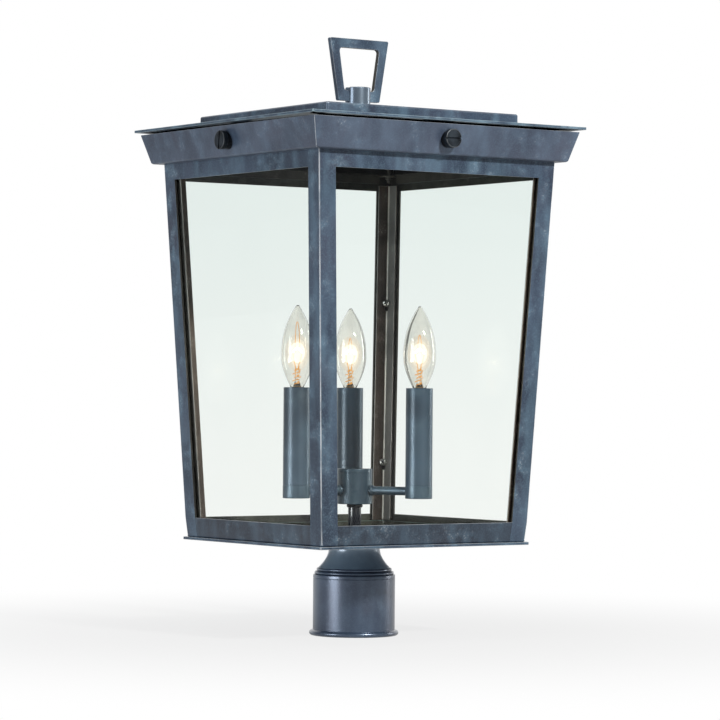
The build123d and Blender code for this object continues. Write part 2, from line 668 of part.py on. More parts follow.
def bolt_hole(low, high):
    """A cutter for the hole of the finial's bolt."""
    return disc(BOLT_R + BOLT_HOLE_PLAY, low - CUT, high + CUT, SMALL_SIDES)


def roof_plate():
    """Flat square roof sheet with the hole for the finial's bolt."""
    return square_plate(ROOF_HALF, ROOF_Z, ROOF_T) - bolt_hole(ROOF_Z, TIER_Z)


def roof_tier():
    """Shallow folded box on the roof plate, open below, with softened edges."""
    outer = Plane.XY.offset(TIER_Z) * extrude(RectangleRounded(2 * TIER_HALF, 2 * TIER_HALF, TIER_EDGE_R),
                                              TIER_HEIGHT)
    outer = chamfer(outer.edges().group_by(Axis.Z)[-1], TIER_EDGE_R / 2)
    inner_half = TIER_HALF - TIER_T
    inner = Plane.XY.offset(TIER_Z - CUT) * extrude(Rectangle(2 * inner_half, 2 * inner_half),
                                                    TIER_HEIGHT - TIER_T + CUT)
    return outer - inner - bolt_hole(TIER_Z, TIER_TOP_Z)


def lid_tab():
    """Bent tab under the roof plate, which stands inside the fascia."""
    inner = TAB_HALF - TAB_LEG
    foot = CAGE_TOP_Z + TAB_FOOT_GAP
    flat = flat_face([(inner, ROOF_Z), (TAB_HALF, ROOF_Z), (TAB_HALF, foot), (TAB_HALF - TAB_T, foot),
                      (TAB_HALF - TAB_T, ROOF_Z - TAB_T), (inner, ROOF_Z - TAB_T)])
    bend = flat.vertices().sort_by_distance((TAB_HALF, ROOF_Z))[0]
    return folded_strip(fillet(bend, TAB_BEND_R), TAB_WIDTH)


def finial_barrel():
    """Turned barrel with a cross slot for the loop and a tapped hole from below."""
    top = TIER_TOP_Z + BARREL_HEIGHT
    barrel = turned([(BARREL_R, TIER_TOP_Z), (BARREL_R, top - BARREL_CHAMFER),
                     (BARREL_R - BARREL_CHAMFER, top)], ROUND_SIDES)
    slot = Pos(0, 0, LOOP_Z + BARREL_HEIGHT / 2) * Box(3 * BARREL_R, LOOP_T + 2 * LOOP_FIT, BARREL_HEIGHT)
    return barrel - slot - disc(BOLT_R + THREAD_FIT, TIER_TOP_Z - CUT, TIER_TOP_Z + BOLT_HOLE_DEPTH,
                                SMALL_SIDES)


def finial_loop():
    """Flat-bar loop, wider at the top, whose foot stands in the barrel's slot."""
    top = LOOP_Z + LOOP_HEIGHT
    outer = flat_face([(-LOOP_BASE_HALF, LOOP_Z), (LOOP_BASE_HALF, LOOP_Z), (LOOP_TOP_HALF, top),
                       (-LOOP_TOP_HALF, top)])
    low = LOOP_Z + LOOP_FOOT_BAR
    high = top - LOOP_HEAD_BAR
    inner = flat_face([(-LOOP_OPEN_BASE_HALF, low), (LOOP_OPEN_BASE_HALF, low),
                       (LOOP_OPEN_TOP_HALF, high), (-LOOP_OPEN_TOP_HALF, high)])
    bar = fillet(outer.vertices(), LOOP_OUTER_R) - fillet(inner.vertices(), LOOP_INNER_R)
    return extrude(FRONT_VIEW.offset(-LOOP_T / 2) * bar, LOOP_T)


def finial_bolt():
    """Hexagon bolt from inside the lid that holds tier and barrel on the roof plate."""
    head = disc(BOLT_HEAD_FLATS / sqrt(3), ROOF_Z - BOLT_HEAD_H, ROOF_Z, 6)
    return head + disc(BOLT_R, ROOF_Z, TIER_TOP_Z + BOLT_GRIP, SMALL_SIDES)


# ---------------------------------------------------------------- stem and hub

def hexagon_nut(low):
    """Thin lock nut on the nipple."""
    flats = 2 * NIPPLE_R + NUT_WIDTH
    bore = disc(NIPPLE_R + THREAD_FIT, low - CUT, low + NUT_H + CUT, SMALL_SIDES)
    return disc(flats / sqrt(3), low, low + NUT_H, 6) - bore


def stem_nipple():
    """Threaded pipe that clamps the fitter, plate, pan, stem and hub between its two nuts."""
    return tube(NIPPLE_R, NIPPLE_R - NIPPLE_WALL, PLATE_Z - NIPPLE_TAIL, UPPER_NUT_Z + NUT_H, SMALL_SIDES)


def stem_tube():
    """Spacer tube between the pan and the hub's collar."""
    return disc(STEM_R, STEM_Z, HUB_Z - COLLAR_H, LAMP_SIDES) - nipple_hole(STEM_Z, HUB_Z)


def stem_collar():
    """Ring under the hub."""
    ring = disc(STEM_R + COLLAR_STEP, HUB_Z - COLLAR_H, HUB_Z, LAMP_SIDES)
    return ring - nipple_hole(HUB_Z - COLLAR_H, HUB_Z)


def hub_body():
    """Turned cup at the centre of the arms, with a hole for each arm."""
    body = disc(HUB_R, HUB_Z, HUB_TOP_Z, LAMP_SIDES)
    body -= disc(HUB_R - HUB_WALL, UPPER_NUT_Z, HUB_TOP_Z + CUT, LAMP_SIDES)
    body -= nipple_hole(HUB_Z, UPPER_NUT_Z)
    for angle in CANDLE_ANGLES:
        body -= rod_to(radial_plane(angle, ARM_Z), ARM_R + ARM_FIT, HUB_R / 2, HUB_R + CUT, LAMP_SIDES)
    return body


def hub_cap():
    """Cap with a spigot that plugs into the hub."""
    spigot_r = HUB_R - HUB_WALL - SPIGOT_FIT
    top = HUB_TOP_Z + HUB_CAP_H
    rim = top - HUB_CAP_CHAMFER
    cap = disc(HUB_R, HUB_TOP_Z, rim, LAMP_SIDES)
    cap += tapered_rod(Plane.XY, HUB_R, HUB_R - HUB_CAP_CHAMFER, rim, top, LAMP_SIDES)
    return cap + tube(spigot_r, spigot_r - HUB_WALL, HUB_TOP_Z - HUB_SPIGOT_H, HUB_TOP_Z, LAMP_SIDES)


# ---------------------------------------------------------------- arms and candles

def lamp_arm(angle):
    """Straight tube from the hub into the side of a cup, with a collar at the hub."""
    plane = radial_plane(angle, ARM_Z)
    near = HUB_R - HUB_WALL - ARM_INTO_HUB
    far = ARM_REACH - CUP_R + ARM_INTO_CUP
    collar = HUB_R + ARM_FIT
    arm = rod_to(plane, ARM_R, near, far, LAMP_SIDES)
    arm += rod_to(plane, ARM_COLLAR_R, collar, collar + ARM_COLLAR_L, LAMP_SIDES)
    return arm - rod_to(plane, ARM_R - ARM_WALL, near - CUT, far + CUT, SMALL_SIDES)


def candle_cup(angle):
    """Turned cup under the sleeve, drilled for the arm, with a spigot for the sleeve."""
    top = SLEEVE_Z + CUP_SPIGOT_H
    cup = disc(CUP_R, CUP_Z, SLEEVE_Z, LAMP_SIDES)
    cup += disc(SLEEVE_R - SLEEVE_WALL - SPIGOT_FIT, SLEEVE_Z, top, LAMP_SIDES)
    cup -= disc(CUP_R - CUP_WALL, CUP_FLOOR_Z, top + CUT, LAMP_SIDES)
    hole = rod_to(radial_plane(angle, ARM_Z), ARM_R + ARM_FIT, ARM_REACH - 2 * CUP_R,
                  ARM_REACH - CUP_R / 2, LAMP_SIDES)
    return on_candle(cup, angle) - hole


def candle_sleeve(angle):
    """Plain tube that stands on the cup and hides the socket."""
    return on_candle(tube(SLEEVE_R, SLEEVE_R - SLEEVE_WALL, SLEEVE_Z, SLEEVE_TOP_Z, LAMP_SIDES), angle)


def socket_strap(angle):
    """Bent strap from the floor of the cup up the side of the socket."""
    inner = SOCKET_R + STRAP_FIT
    outer = inner + STRAP_T
    top = SOCKET_Z + STRAP_OVERLAP
    flat = flat_face([(outer - STRAP_FOOT, CUP_FLOOR_Z), (outer, CUP_FLOOR_Z), (outer, top), (inner, top),
                      (inner, CUP_FLOOR_Z + STRAP_T), (outer - STRAP_FOOT, CUP_FLOOR_Z + STRAP_T)])
    strap = extrude(FRONT_VIEW.offset(-STRAP_W / 2) * flat, STRAP_W)
    return on_candle(Rot(0, 0, angle) * strap, angle)


def lamp_socket(angle):
    """Small screw socket: moulded body, a bore for the bulb's base, a wider mouth."""
    body = disc(SOCKET_R, SOCKET_Z, SOCKET_TOP_Z, LAMP_SIDES)
    body -= disc(BASE_R + BASE_FIT, SOCKET_TOP_Z - SOCKET_BORE_DEPTH, SOCKET_TOP_Z + CUT, LAMP_SIDES)
    body -= disc(BASE_RIM_R + SOCKET_MOUTH_PLAY, SOCKET_TOP_Z - SOCKET_MOUTH_DEPTH, SOCKET_TOP_Z + CUT,
                 LAMP_SIDES)
    return on_candle(body, angle)


# ---------------------------------------------------------------- bulbs

def flame(inset):
    """Solid flame shape, from the neck to the tip, drawn in by inset all over."""
    belly_z = BULB_Z + BULB_BELLY_HEIGHT
    upper = BULB_HEIGHT - inset - BULB_BELLY_HEIGHT
    rings = []
    for share in (0, 1 / 3, 2 / 3):
        swell = sin(radians(90 * share))
        rings.append((BASE_RIM_R + (BULB_BELLY_R - BASE_RIM_R) * swell, BULB_Z + BULB_BELLY_HEIGHT * share))
    for share in (0, 1 / 4, 1 / 2, 3 / 4, 1):
        taper = 1 - share ** BULB_TAPER
        rings.append((BULB_TIP_R + (BULB_BELLY_R - BULB_TIP_R) * taper, belly_z + upper * share))
    return turned([(radius - inset, height) for radius, height in rings], LAMP_SIDES)


def bulb_glass(angle):
    """Clear flame-shaped envelope with an even wall, open at the neck."""
    return on_candle(flame(0) - flame(BULB_WALL), angle)


def bulb_base(angle):
    """Screw base with its centre contact, and the glass mount that stands up from it."""
    foot = BULB_Z - BASE_LENGTH
    rim = BULB_Z - BASE_RIM_H
    cap = disc(CONTACT_R, foot, foot + CONTACT_H, SMALL_SIDES)
    cap += disc(BASE_R, foot + CONTACT_H, rim, LAMP_SIDES)
    cap += disc(BASE_RIM_R, rim, BULB_Z, LAMP_SIDES)
    neck = BULB_Z + MOUNT_FLARE_H
    mount = tapered_rod(Plane.XY, MOUNT_FLARE_R, MOUNT_R, BULB_Z, neck, SMALL_SIDES)
    mount += disc(MOUNT_R, neck, BULB_Z + MOUNT_HEIGHT, SMALL_SIDES)
    return on_candle(Compound(children=[cap, mount]), angle)


# ---------------------------------------------------------------- wiring

def arm_lead(angle):
    """Sleeved pair of wires that lies in an arm and turns up to its socket."""
    z = ARM_Z - (ARM_R - ARM_WALL) + LEAD_R + LEAD_LIE
    lead = rod_to(radial_plane(angle, z), LEAD_R, LEAD_START, ARM_REACH, SMALL_SIDES)
    return lead + on_candle(disc(LEAD_R, z - LEAD_R, SOCKET_Z - LEAD_LIE, SMALL_SIDES), angle)


def wire_connector(side):
    """Cone-shaped wire connector inside the hub."""
    low = TRUNK_TOP_Z + LEAD_LIE
    cone = tapered_rod(Plane.XY, CONNECTOR_R, CONNECTOR_TOP_R, low, low + CONNECTOR_H, SMALL_SIDES)
    return Pos(side * CONNECTOR_X, 0, 0) * cone


# ---------------------------------------------------------------- write every sub-part

write("post_fitter", post_fitter())
write("bottom_plate", bottom_plate())
write("base_pan", base_pan())
for side, angle in zip(("right", "back"), SET_SCREW_ANGLES):
    write(f"set_screw_{side}", set_screw(angle))

post = corner_post()
for index, corner in enumerate(CORNERS):
    write(f"corner_post_{corner}", quarter(post, index))

for name, piece in (("top_rail", top_rail()), ("bottom_rail", bottom_rail()),
                    ("glass_pane", glass_pane()), ("fascia", fascia())):
    for index, side in enumerate(SIDES):
        write(f"{name}_{side}", quarter(piece, index))

write("glass_retainers", all_round(glass_retainer()))
write("retainer_lugs", at_screw_heights(retainer_lug))
write("retainer_screws", at_screw_heights(retainer_screw))
write("corner_gussets", all_round(corner_gusset()))
write("lid_studs", all_round(lid_stud()))
write("thumb_bosses", all_round(thumb_boss()))
for index, side in enumerate(SIDES):
    write(f"thumb_screw_{side}", quarter(thumb_screw(THUMB_SLOT_ANGLES[index]), index))

write("roof_plate", roof_plate())
write("roof_tier", roof_tier())
write("lid_tabs", all_round(lid_tab()))
write("finial_barrel", finial_barrel())
write("finial_loop", finial_loop())
write("finial_bolt", finial_bolt())

write("stem_tube", stem_tube())
write("stem_collar", stem_collar())
write("stem_nipple", stem_nipple())
write("nipple_nuts", Compound(children=[hexagon_nut(LOWER_NUT_Z), hexagon_nut(UPPER_NUT_Z)]))
write("hub_body", hub_body())
write("hub_cap", hub_cap())

write("lamp_arms", three(lamp_arm))
write("candle_cups", three(candle_cup))
write("candle_sleeves", three(candle_sleeve))
write("socket_straps", three(socket_strap))
write("lamp_sockets", three(lamp_socket))
for candle, angle in zip(CANDLES, CANDLE_ANGLES):
    write(f"bulb_glass_{candle}", bulb_glass(angle))
    write(f"bulb_base_{candle}", bulb_base(angle))

trunk = disc(NIPPLE_R - NIPPLE_WALL - LEAD_LIE, PLATE_Z - TRUNK_TAIL, TRUNK_TOP_Z, SMALL_SIDES)
write("lead_wires", Compound(children=[trunk] + [arm_lead(angle) for angle in CANDLE_ANGLES]))
write("wire_connectors", Compound(children=[wire_connector(-1), wire_connector(1)]))
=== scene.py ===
import json
from math import cos, pi, radians, sin

import bmesh
import bpy
from mathutils import Euler, Matrix, Vector

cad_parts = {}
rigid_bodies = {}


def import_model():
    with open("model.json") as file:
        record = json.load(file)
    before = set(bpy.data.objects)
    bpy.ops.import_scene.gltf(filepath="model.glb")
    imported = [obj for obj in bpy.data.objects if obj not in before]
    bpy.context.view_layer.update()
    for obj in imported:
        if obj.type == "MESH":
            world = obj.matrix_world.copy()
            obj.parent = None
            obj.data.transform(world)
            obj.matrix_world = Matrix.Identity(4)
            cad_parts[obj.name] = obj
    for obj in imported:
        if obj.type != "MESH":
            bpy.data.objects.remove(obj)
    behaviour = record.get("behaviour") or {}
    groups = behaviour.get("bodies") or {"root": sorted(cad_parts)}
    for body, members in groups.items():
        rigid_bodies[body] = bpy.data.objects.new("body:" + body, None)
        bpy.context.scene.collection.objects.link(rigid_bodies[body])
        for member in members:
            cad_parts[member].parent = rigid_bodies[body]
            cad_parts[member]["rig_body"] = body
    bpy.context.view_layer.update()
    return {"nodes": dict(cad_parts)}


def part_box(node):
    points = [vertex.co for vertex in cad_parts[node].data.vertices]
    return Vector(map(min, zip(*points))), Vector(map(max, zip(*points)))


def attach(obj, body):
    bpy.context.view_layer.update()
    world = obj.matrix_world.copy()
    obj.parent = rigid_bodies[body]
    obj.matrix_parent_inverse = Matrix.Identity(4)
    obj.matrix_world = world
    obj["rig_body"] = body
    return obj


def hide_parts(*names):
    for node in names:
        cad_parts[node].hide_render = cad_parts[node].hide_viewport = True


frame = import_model()
scene = bpy.context.scene

# ---------------------------------------------------------------- view
# A long lens a little above the middle of the lantern, turned to its front left corner, so that
# the front and the left side show nearly alike.

VIEW_PLACE = (-1.80715, -2.62117, 0.24204)
VIEW_TURN = -34.66            # degrees about the vertical, from looking along +Y
VIEW_TILT = 0.58
VIEW_ROLL = 0.44
VIEW_LENS = 159.37            # for a sensor 36 mm wide

camera = bpy.data.objects.new("camera", bpy.data.cameras.new("camera"))
scene.collection.objects.link(camera)
scene.camera = camera
camera.data.sensor_width = 36
camera.data.lens = VIEW_LENS
camera.location = VIEW_PLACE
aim = Euler((radians(90 + VIEW_TILT), 0, radians(VIEW_TURN))).to_matrix()
camera.rotation_euler = (aim @ Matrix.Rotation(radians(VIEW_ROLL), 3, "Z")).to_euler()

# ---------------------------------------------------------------- cage
# Four bent corner angles and eight folded rails of sheet brass, brazed into an open tapered cage.
# Outside they have a mottled blue-grey patina under clear lacquer, rubbed pale along the edges.
# Inside they are left a warm dark bronze.


def tone(code):
    """Shader colour of a hexadecimal screen colour."""
    levels = [int(code[place:place + 2], 16) / 255 for place in (0, 2, 4)]
    return tuple(((level + 0.055) / 1.055) ** 2.4 for level in levels) + (1.0,)


def add_node(tree, kind, inputs, **settings):
    """Add a shader node; an input is a plain value or the socket that feeds it."""
    node = tree.nodes.new("ShaderNode" + kind)
    for name, value in settings.items():
        setattr(node, name, value)
    for name, value in inputs.items():
        if isinstance(value, bpy.types.NodeSocket):
            tree.links.new(value, node.inputs[name])
        else:
            node.inputs[name].default_value = value
    return node


def empty_finish(name):
    """A material with an empty node tree, its output, and its object coordinates."""
    finish = bpy.data.materials.new(name)
    finish.use_nodes = True
    tree = finish.node_tree
    tree.nodes.clear()
    place = add_node(tree, "TexCoord", {}).outputs["Object"]
    return finish, tree, place, tree.nodes.new("ShaderNodeOutputMaterial")


def span(tree, value, low, high, start, end):
    """Carry a value smoothly from the range low to high over to the range start to end."""
    ends = {"Value": value, "From Min": low, "From Max": high, "To Min": start, "To Max": end}
    return add_node(tree, "MapRange", ends, interpolation_type="SMOOTHSTEP").outputs[0]


def cloud(tree, place, scale, low, high, detail=3.0, stretch=(1, 1, 1), shift=0.0, distortion=0.0):
    """Soft noise between 0 and 1 that rises from low to high, over coordinates in metres."""
    moved = add_node(tree, "Mapping", {"Vector": place, "Scale": stretch, "Location": (shift,) * 3})
    noise = add_node(tree, "TexNoise", {"Vector": moved.outputs[0], "Scale": scale, "Detail": detail,
                                        "Roughness": 0.55, "Distortion": distortion})
    return span(tree, noise.outputs[0], low, high, 0, 1)


def times(tree, first, second):
    """Two values multiplied."""
    return add_node(tree, "Math", {0: first, 1: second}, operation="MULTIPLY").outputs[0]


def over(tree, share, under, top):
    """A colour laid over another by a share from 0 to 1."""
    mixed = add_node(tree, "Mix", {0: share, 6: under, 7: top}, data_type="RGBA")
    return mixed.outputs[2]


def wear_highlight_share(tree):
    """How far a face is rubbed through to the metal, or lit by a painted highlight, as its piece's own
    attribute says; 0 where it has none.
    """
    return add_node(tree, "Attribute", {}, attribute_name="wear_and_highlight").outputs["Fac"]


def patina(name, deep, middle, pale, warm, wear_and_highlight, metallic=0.22, roughness=(0.32, 0.48), mottle=1.0,
           lacquer=0.25, shine=0.22, pitted=0.10, wave=0.15, gloss=0.5):
    """Mottled metal patina: broad clouds, upright bands, pale blooms with flecks, and rubbed edges, with
    painted highlights where a piece's attribute asks for them.

    The colours are screen colours; the last is what shows where the metal is rubbed through, and along
    painted highlights.
    """
    finish, tree, place, output = empty_finish(name)
    broad = cloud(tree, place, 13, 0.34, 0.66, detail=2, shift=3.1)
    colour = over(tree, broad, tone(deep), tone(middle))
    patch = cloud(tree, place, 17, 0.46, 0.72, detail=3, shift=8.3, distortion=0.3)
    colour = over(tree, times(tree, patch, 0.55 * mottle), colour, tone(warm))
    band = cloud(tree, place, 46, 0.42, 0.70, detail=2, stretch=(1, 1, 0.22), shift=1.7)
    colour = over(tree, times(tree, band, 0.42 * mottle), colour, tone(pale))
    dark = cloud(tree, place, 40, 0.48, 0.68, detail=3, stretch=(1, 1, 0.35), shift=12.4)
    colour = over(tree, times(tree, dark, 0.72 * mottle), colour, tone(deep))
    bloom = cloud(tree, place, 56, 0.48, 0.80, detail=4, shift=5.9, distortion=0.2)
    colour = over(tree, times(tree, bloom, 0.60 * mottle), colour, tone(pale))
    fleck = cloud(tree, place, 520, 0.52, 0.70, detail=3, shift=2.6)
    colour = over(tree, times(tree, times(tree, fleck, bloom), 0.42 * mottle), colour, tone(wear_and_highlight))
    speck = cloud(tree, place, 700, 0.45, 0.68, detail=2, shift=9.4)
    colour = over(tree, times(tree, speck, 0.22 * mottle), colour, tone(pale))
    rub = cloud(tree, place, 26, 0.28, 0.60, detail=5, shift=7.7)
    wear_highlight_mask = times(tree, wear_highlight_share(tree), span(tree, rub, 0, 1, 0.30, 1.0))
    colour = over(tree, wear_highlight_mask, colour, tone(wear_and_highlight))
    grain = cloud(tree, place, 620, 0.35, 0.65, detail=2)
    bump = add_node(tree, "Bump", {"Strength": pitted, "Distance": 0.0005, "Height": grain})
    hammer = add_node(tree, "Bump", {"Strength": wave, "Distance": 0.0016, "Height": broad,
                                     "Normal": bump.outputs[0]})
    shader = add_node(tree, "BsdfPrincipled", {
        "Base Color": colour, "Metallic": metallic, "Normal": hammer.outputs[0],
        "Roughness": span(tree, bloom, 0, 1, *roughness), "Coat Weight": lacquer, "Coat Roughness": shine,
        "Specular IOR Level": gloss})
    tree.links.new(shader.outputs[0], output.inputs[0])
    return finish


slate_patina = patina("slate_patina", "2b384a", "435266", "6b899d", "424253", "c8cccf")
# the bottom rails take a darker copy of the slate patina: painted shade, for the lower light they get
sill_patina_painted_shade = patina("sill_patina_painted_shade", "222936", "333e4c", "51687a", "363741", "b8bcc0")
inner_bronze = patina("inner_bronze", "35332f", "4e4b44", "66635b", "403b35", "bcb6aa", metallic=0.25,
                      roughness=(0.36, 0.52), mottle=0.6)
sill_bronze = patina("sill_bronze", "33332d", "4b4c44", "646459", "3c3a33", "a8a69a", metallic=0.35,
                     roughness=(0.36, 0.52), mottle=0.6)


def settle(name, mesh, finishes, body, nodes=(), flat_angle=32, even=False):
    """Turn a finished bmesh into a piece that rides on a body and stands for CAD nodes.

    The large faces of an even piece keep flat shading up to their eased edges.
    """
    data = bpy.data.meshes.new(name)
    mesh.to_mesh(data)
    mesh.free()
    for finish in finishes:
        data.materials.append(finish)
    data.polygons.foreach_set("use_smooth", [True] * len(data.polygons))
    data.set_sharp_from_angle(angle=radians(flat_angle))
    piece = bpy.data.objects.new(name, data)
    if even:
        weighted = piece.modifiers.new("weighted", "WEIGHTED_NORMAL")
        weighted.keep_sharp = True
        weighted.weight = 100
    scene.collection.objects.link(piece)
    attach(piece, body)
    if nodes:
        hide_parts(*nodes)


def body_of(node):
    """The body that a CAD node rides on."""
    return frame["nodes"][node]["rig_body"]


def merged(node):
    """A CAD node's faces, joined up and with the triangles of each flat face dissolved."""
    mesh = bmesh.new()
    mesh.from_mesh(frame["nodes"][node].data)
    bmesh.ops.remove_doubles(mesh, verts=mesh.verts, dist=5e-6)
    bmesh.ops.dissolve_limit(mesh, angle_limit=radians(0.5), verts=mesh.verts, edges=mesh.edges)
    return mesh


def ease_edges(mesh, width, rubbed=None, edges=None, sharpest=30, segments=2):
    """Round the sharp edges a little, as finishing does, and say how far each new face is rubbed, or how
    strong a painted highlight it takes where the caller asks for one.
    """
    layer = mesh.faces.layers.float.get("wear_and_highlight") or mesh.faces.layers.float.new("wear_and_highlight")
    sharp = edges or [edge for edge in mesh.edges
                      if edge.is_manifold and edge.calc_face_angle(0) > radians(sharpest)]
    made = bmesh.ops.bevel(mesh, geom=sharp, offset=width, offset_type="OFFSET", segments=segments,
                           profile=0.5, affect="EDGES", clamp_overlap=True, material=-1)
    for face in made["faces"]:
        face[layer] = rubbed(face.calc_center_median(), face.normal) if rubbed else 0.0


def eased(name, node, finishes, width, rubbed=None, inward=None, segments=2):
    """A CAD piece with eased edges; faces that look inward take the second finish."""
    mesh = merged(node)
    ease_edges(mesh, width, rubbed, segments=segments)
    if inward:
        for face in mesh.faces:
            face.material_index = int(inward(face.normal, face.calc_center_median()))
    settle(name, mesh, finishes, body_of(node), [node], even=True)


def faces_axis(normal, centre):
    """True for a face that looks toward the lantern's centre line."""
    return normal.xy.dot(centre.xy.normalized()) < -0.05


def on_fold(edge):
    """True for an edge that runs up a folded corner."""
    first, second = (vertex.co for vertex in edge.verts)
    upright = abs(first.z - second.z) > 0.001
    return upright and all(abs(abs(point.x) - abs(point.y)) < 0.0001 for point in (first, second))


SHEET_EDGE = 0.0004
BEND_R = 0.0009               # outside of the folded corner
POST_LEG = 0.0188
SEAM_CLEAR = 0.0012           # the rails' ends are not rubbed within this of a post
WINDOW_HEAD = 0.012           # the posts are rubbed this far up beside the top rails
sill_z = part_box("bottom_rail_front")[1].z
head_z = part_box("top_rail_front")[0].z


def rubbed_fold(centre, normal):
    """The fold is rubbed a little brighter toward the head of the cage."""
    return 0.35 + 0.95 * centre.z


def rubbed_post(centre, normal):
    """A post is rubbed along the edges of its windows."""
    return 0.55 if sill_z < centre.z < head_z + WINDOW_HEAD else 0.0


def rubbed_rail(centre, normal):
    """A rail is rubbed along its long edges only."""
    half = max(abs(centre.x), abs(centre.y))
    along = min(abs(centre.x), abs(centre.y))
    return 0.55 if along < half - POST_LEG - SEAM_CLEAR else 0.0


for node in frame["nodes"]:
    piece = "cage_" + node
    if node.startswith("corner_post_"):
        post = merged(node)
        bend = [edge for edge in post.edges if edge.is_convex and on_fold(edge)]
        ease_edges(post, BEND_R, rubbed_fold, bend, segments=4)
        ease_edges(post, SHEET_EDGE, rubbed_post, sharpest=50)
        for face in post.faces:
            face.material_index = int(faces_axis(face.normal, face.calc_center_median()))
        settle(piece, post, [slate_patina, inner_bronze], body_of(node), [node], even=True)
    elif node.startswith("top_rail_"):
        eased(piece, node, [slate_patina, inner_bronze], SHEET_EDGE, rubbed_rail, faces_axis)
    elif node.startswith("bottom_rail_"):
        eased(piece, node, [sill_patina_painted_shade, sill_bronze], SHEET_EDGE, rubbed_rail, faces_axis)

# ---------------------------------------------------------------- plates and pan
# A flat square plate under the cage, and a pressed pan inside it whose upturned lip holds the
# feet of the panes. The plate has the patina, the pan the dark bronze of the inside.


def evenly(share):
    """Every eased edge is rubbed alike."""
    return lambda centre, normal: share


eased("bottom_plate_sheet", "bottom_plate", [slate_patina], SHEET_EDGE, evenly(0.5))

pan_bronze = patina("pan_bronze", "2d2d28", "47463d", "6d7468", "3a352d", "8fb0a8", metallic=0.35,
                    roughness=(0.32, 0.5), mottle=0.7)
eased("base_pan_pressing", "base_pan", [pan_bronze], SHEET_EDGE, evenly(0.5))

# ---------------------------------------------------------------- fitter
# Cast fitter that slips over the post: a rolled lip, a plain cylinder, two turned beads and a neck
# that flares in to the bottom plate. It is patinated as the cage is, and two screws lock it.

FITTER_R = 0.0409
BORE_R = 0.0385
BORE_TOP = 0.058
LIP_R = 0.0026
LIP_OUT = 0.0036
LIP_BLEND = 0.0003
GROOVE_Z = 0.0569             # fine groove under the shoulder
GROOVE_DEPTH = 0.0003
SHOULDER_R = 0.0009
SHOULDER_TOP = 0.0606
BEAD_R = 0.0016
BEAD_FOOT_R = 0.0380
BEAD_STEP = 0.002
NECK_R = 0.0255
NECK_INNER_R = 0.0231
NECK_STRAIGHT = 0.0066
NECK_FLARE = 1.86
NECK_STEPS = 18
THROAT_R = 0.0330             # the bore narrows from here up to the neck
THROAT_TOP = 0.0765
NIPPLE_HOLE_R = 0.0051
DISC_T = 0.003
ROUND = 96                    # segments of the larger turned pieces


def spun(outline, steps=ROUND, closed=True):
    """Spin an outline of (radius, height) about the vertical; both ends may lie on the axis."""
    mesh = bmesh.new()
    points = [mesh.verts.new((radius, 0, height)) for radius, height in outline]
    pairs = list(zip(points, points[1:]))
    if closed:
        pairs.append((points[-1], points[0]))
    edges = [mesh.edges.new(pair) for pair in pairs]
    bmesh.ops.spin(mesh, geom=points + edges, cent=(0, 0, 0), axis=(0, 0, 1), angle=2 * pi, steps=steps,
                   use_merge=True)
    bmesh.ops.remove_doubles(mesh, verts=mesh.verts, dist=2e-6)
    bmesh.ops.recalc_face_normals(mesh, faces=mesh.faces)
    return mesh


def arc(centre, radius, start, end, steps):
    """Points on an arc of an outline, its angles in degrees from outward."""
    turns = [radians(start + (end - start) * step / steps) for step in range(steps + 1)]
    return [(centre[0] + radius * cos(turn), centre[1] + radius * sin(turn)) for turn in turns]


plate_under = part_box("bottom_plate")[0].z
neck_top = plate_under - NECK_STRAIGHT
high_r = BEAD_FOOT_R - BEAD_STEP
foot = SHOULDER_TOP + 4 * BEAD_R
roll_r = FITTER_R + LIP_OUT - LIP_R
outline = [(BORE_R, 0.0), (roll_r, 0.0)]
outline += arc((roll_r, LIP_R), LIP_R, -80, 90, 12)
outline += [(FITTER_R + LIP_BLEND, 2 * LIP_R), (FITTER_R, 2 * LIP_R + LIP_BLEND)]
outline += [(FITTER_R, GROOVE_Z - GROOVE_DEPTH), (FITTER_R - GROOVE_DEPTH, GROOVE_Z),
            (FITTER_R, GROOVE_Z + GROOVE_DEPTH)]
outline += arc((FITTER_R - SHOULDER_R, SHOULDER_TOP - SHOULDER_R), SHOULDER_R, 0, 90, 5)
outline += arc((BEAD_FOOT_R, SHOULDER_TOP + BEAD_R), BEAD_R, -90, 90, 10)
outline += arc((high_r, SHOULDER_TOP + 3 * BEAD_R), BEAD_R, -90, 90, 10)
for step in range(1, NECK_STEPS + 1):
    share = step / NECK_STEPS
    reach = (high_r - NECK_R) * (1 - share) ** NECK_FLARE
    outline.append((NECK_R + reach, foot + (neck_top - foot) * share))
outline += [(NECK_R, plate_under), (NECK_INNER_R, plate_under), (NECK_INNER_R, THROAT_TOP),
            (THROAT_R, BORE_TOP), (BORE_R, BORE_TOP)]
fitter_patina = patina("fitter_patina", "303d53", "4b5d75", "64798d", "494650", "75858f", metallic=0.5,
                       roughness=(0.30, 0.36), mottle=0.7, lacquer=1.0, shine=0.28, pitted=0.02, wave=0.0)
# the neck takes a much lighter copy of the patina: painted light on a neck that sits in the bottom plate's
# shade
neck_patina_painted_light = patina("neck_patina_painted_light", "667c92", "8096aa", "97abb8", "6f7885", "a9b9c2", metallic=0.25,
                     roughness=(0.30, 0.42), mottle=0.6, lacquer=1.0, shine=0.30, pitted=0.02, wave=0.0,
                     gloss=1.0)


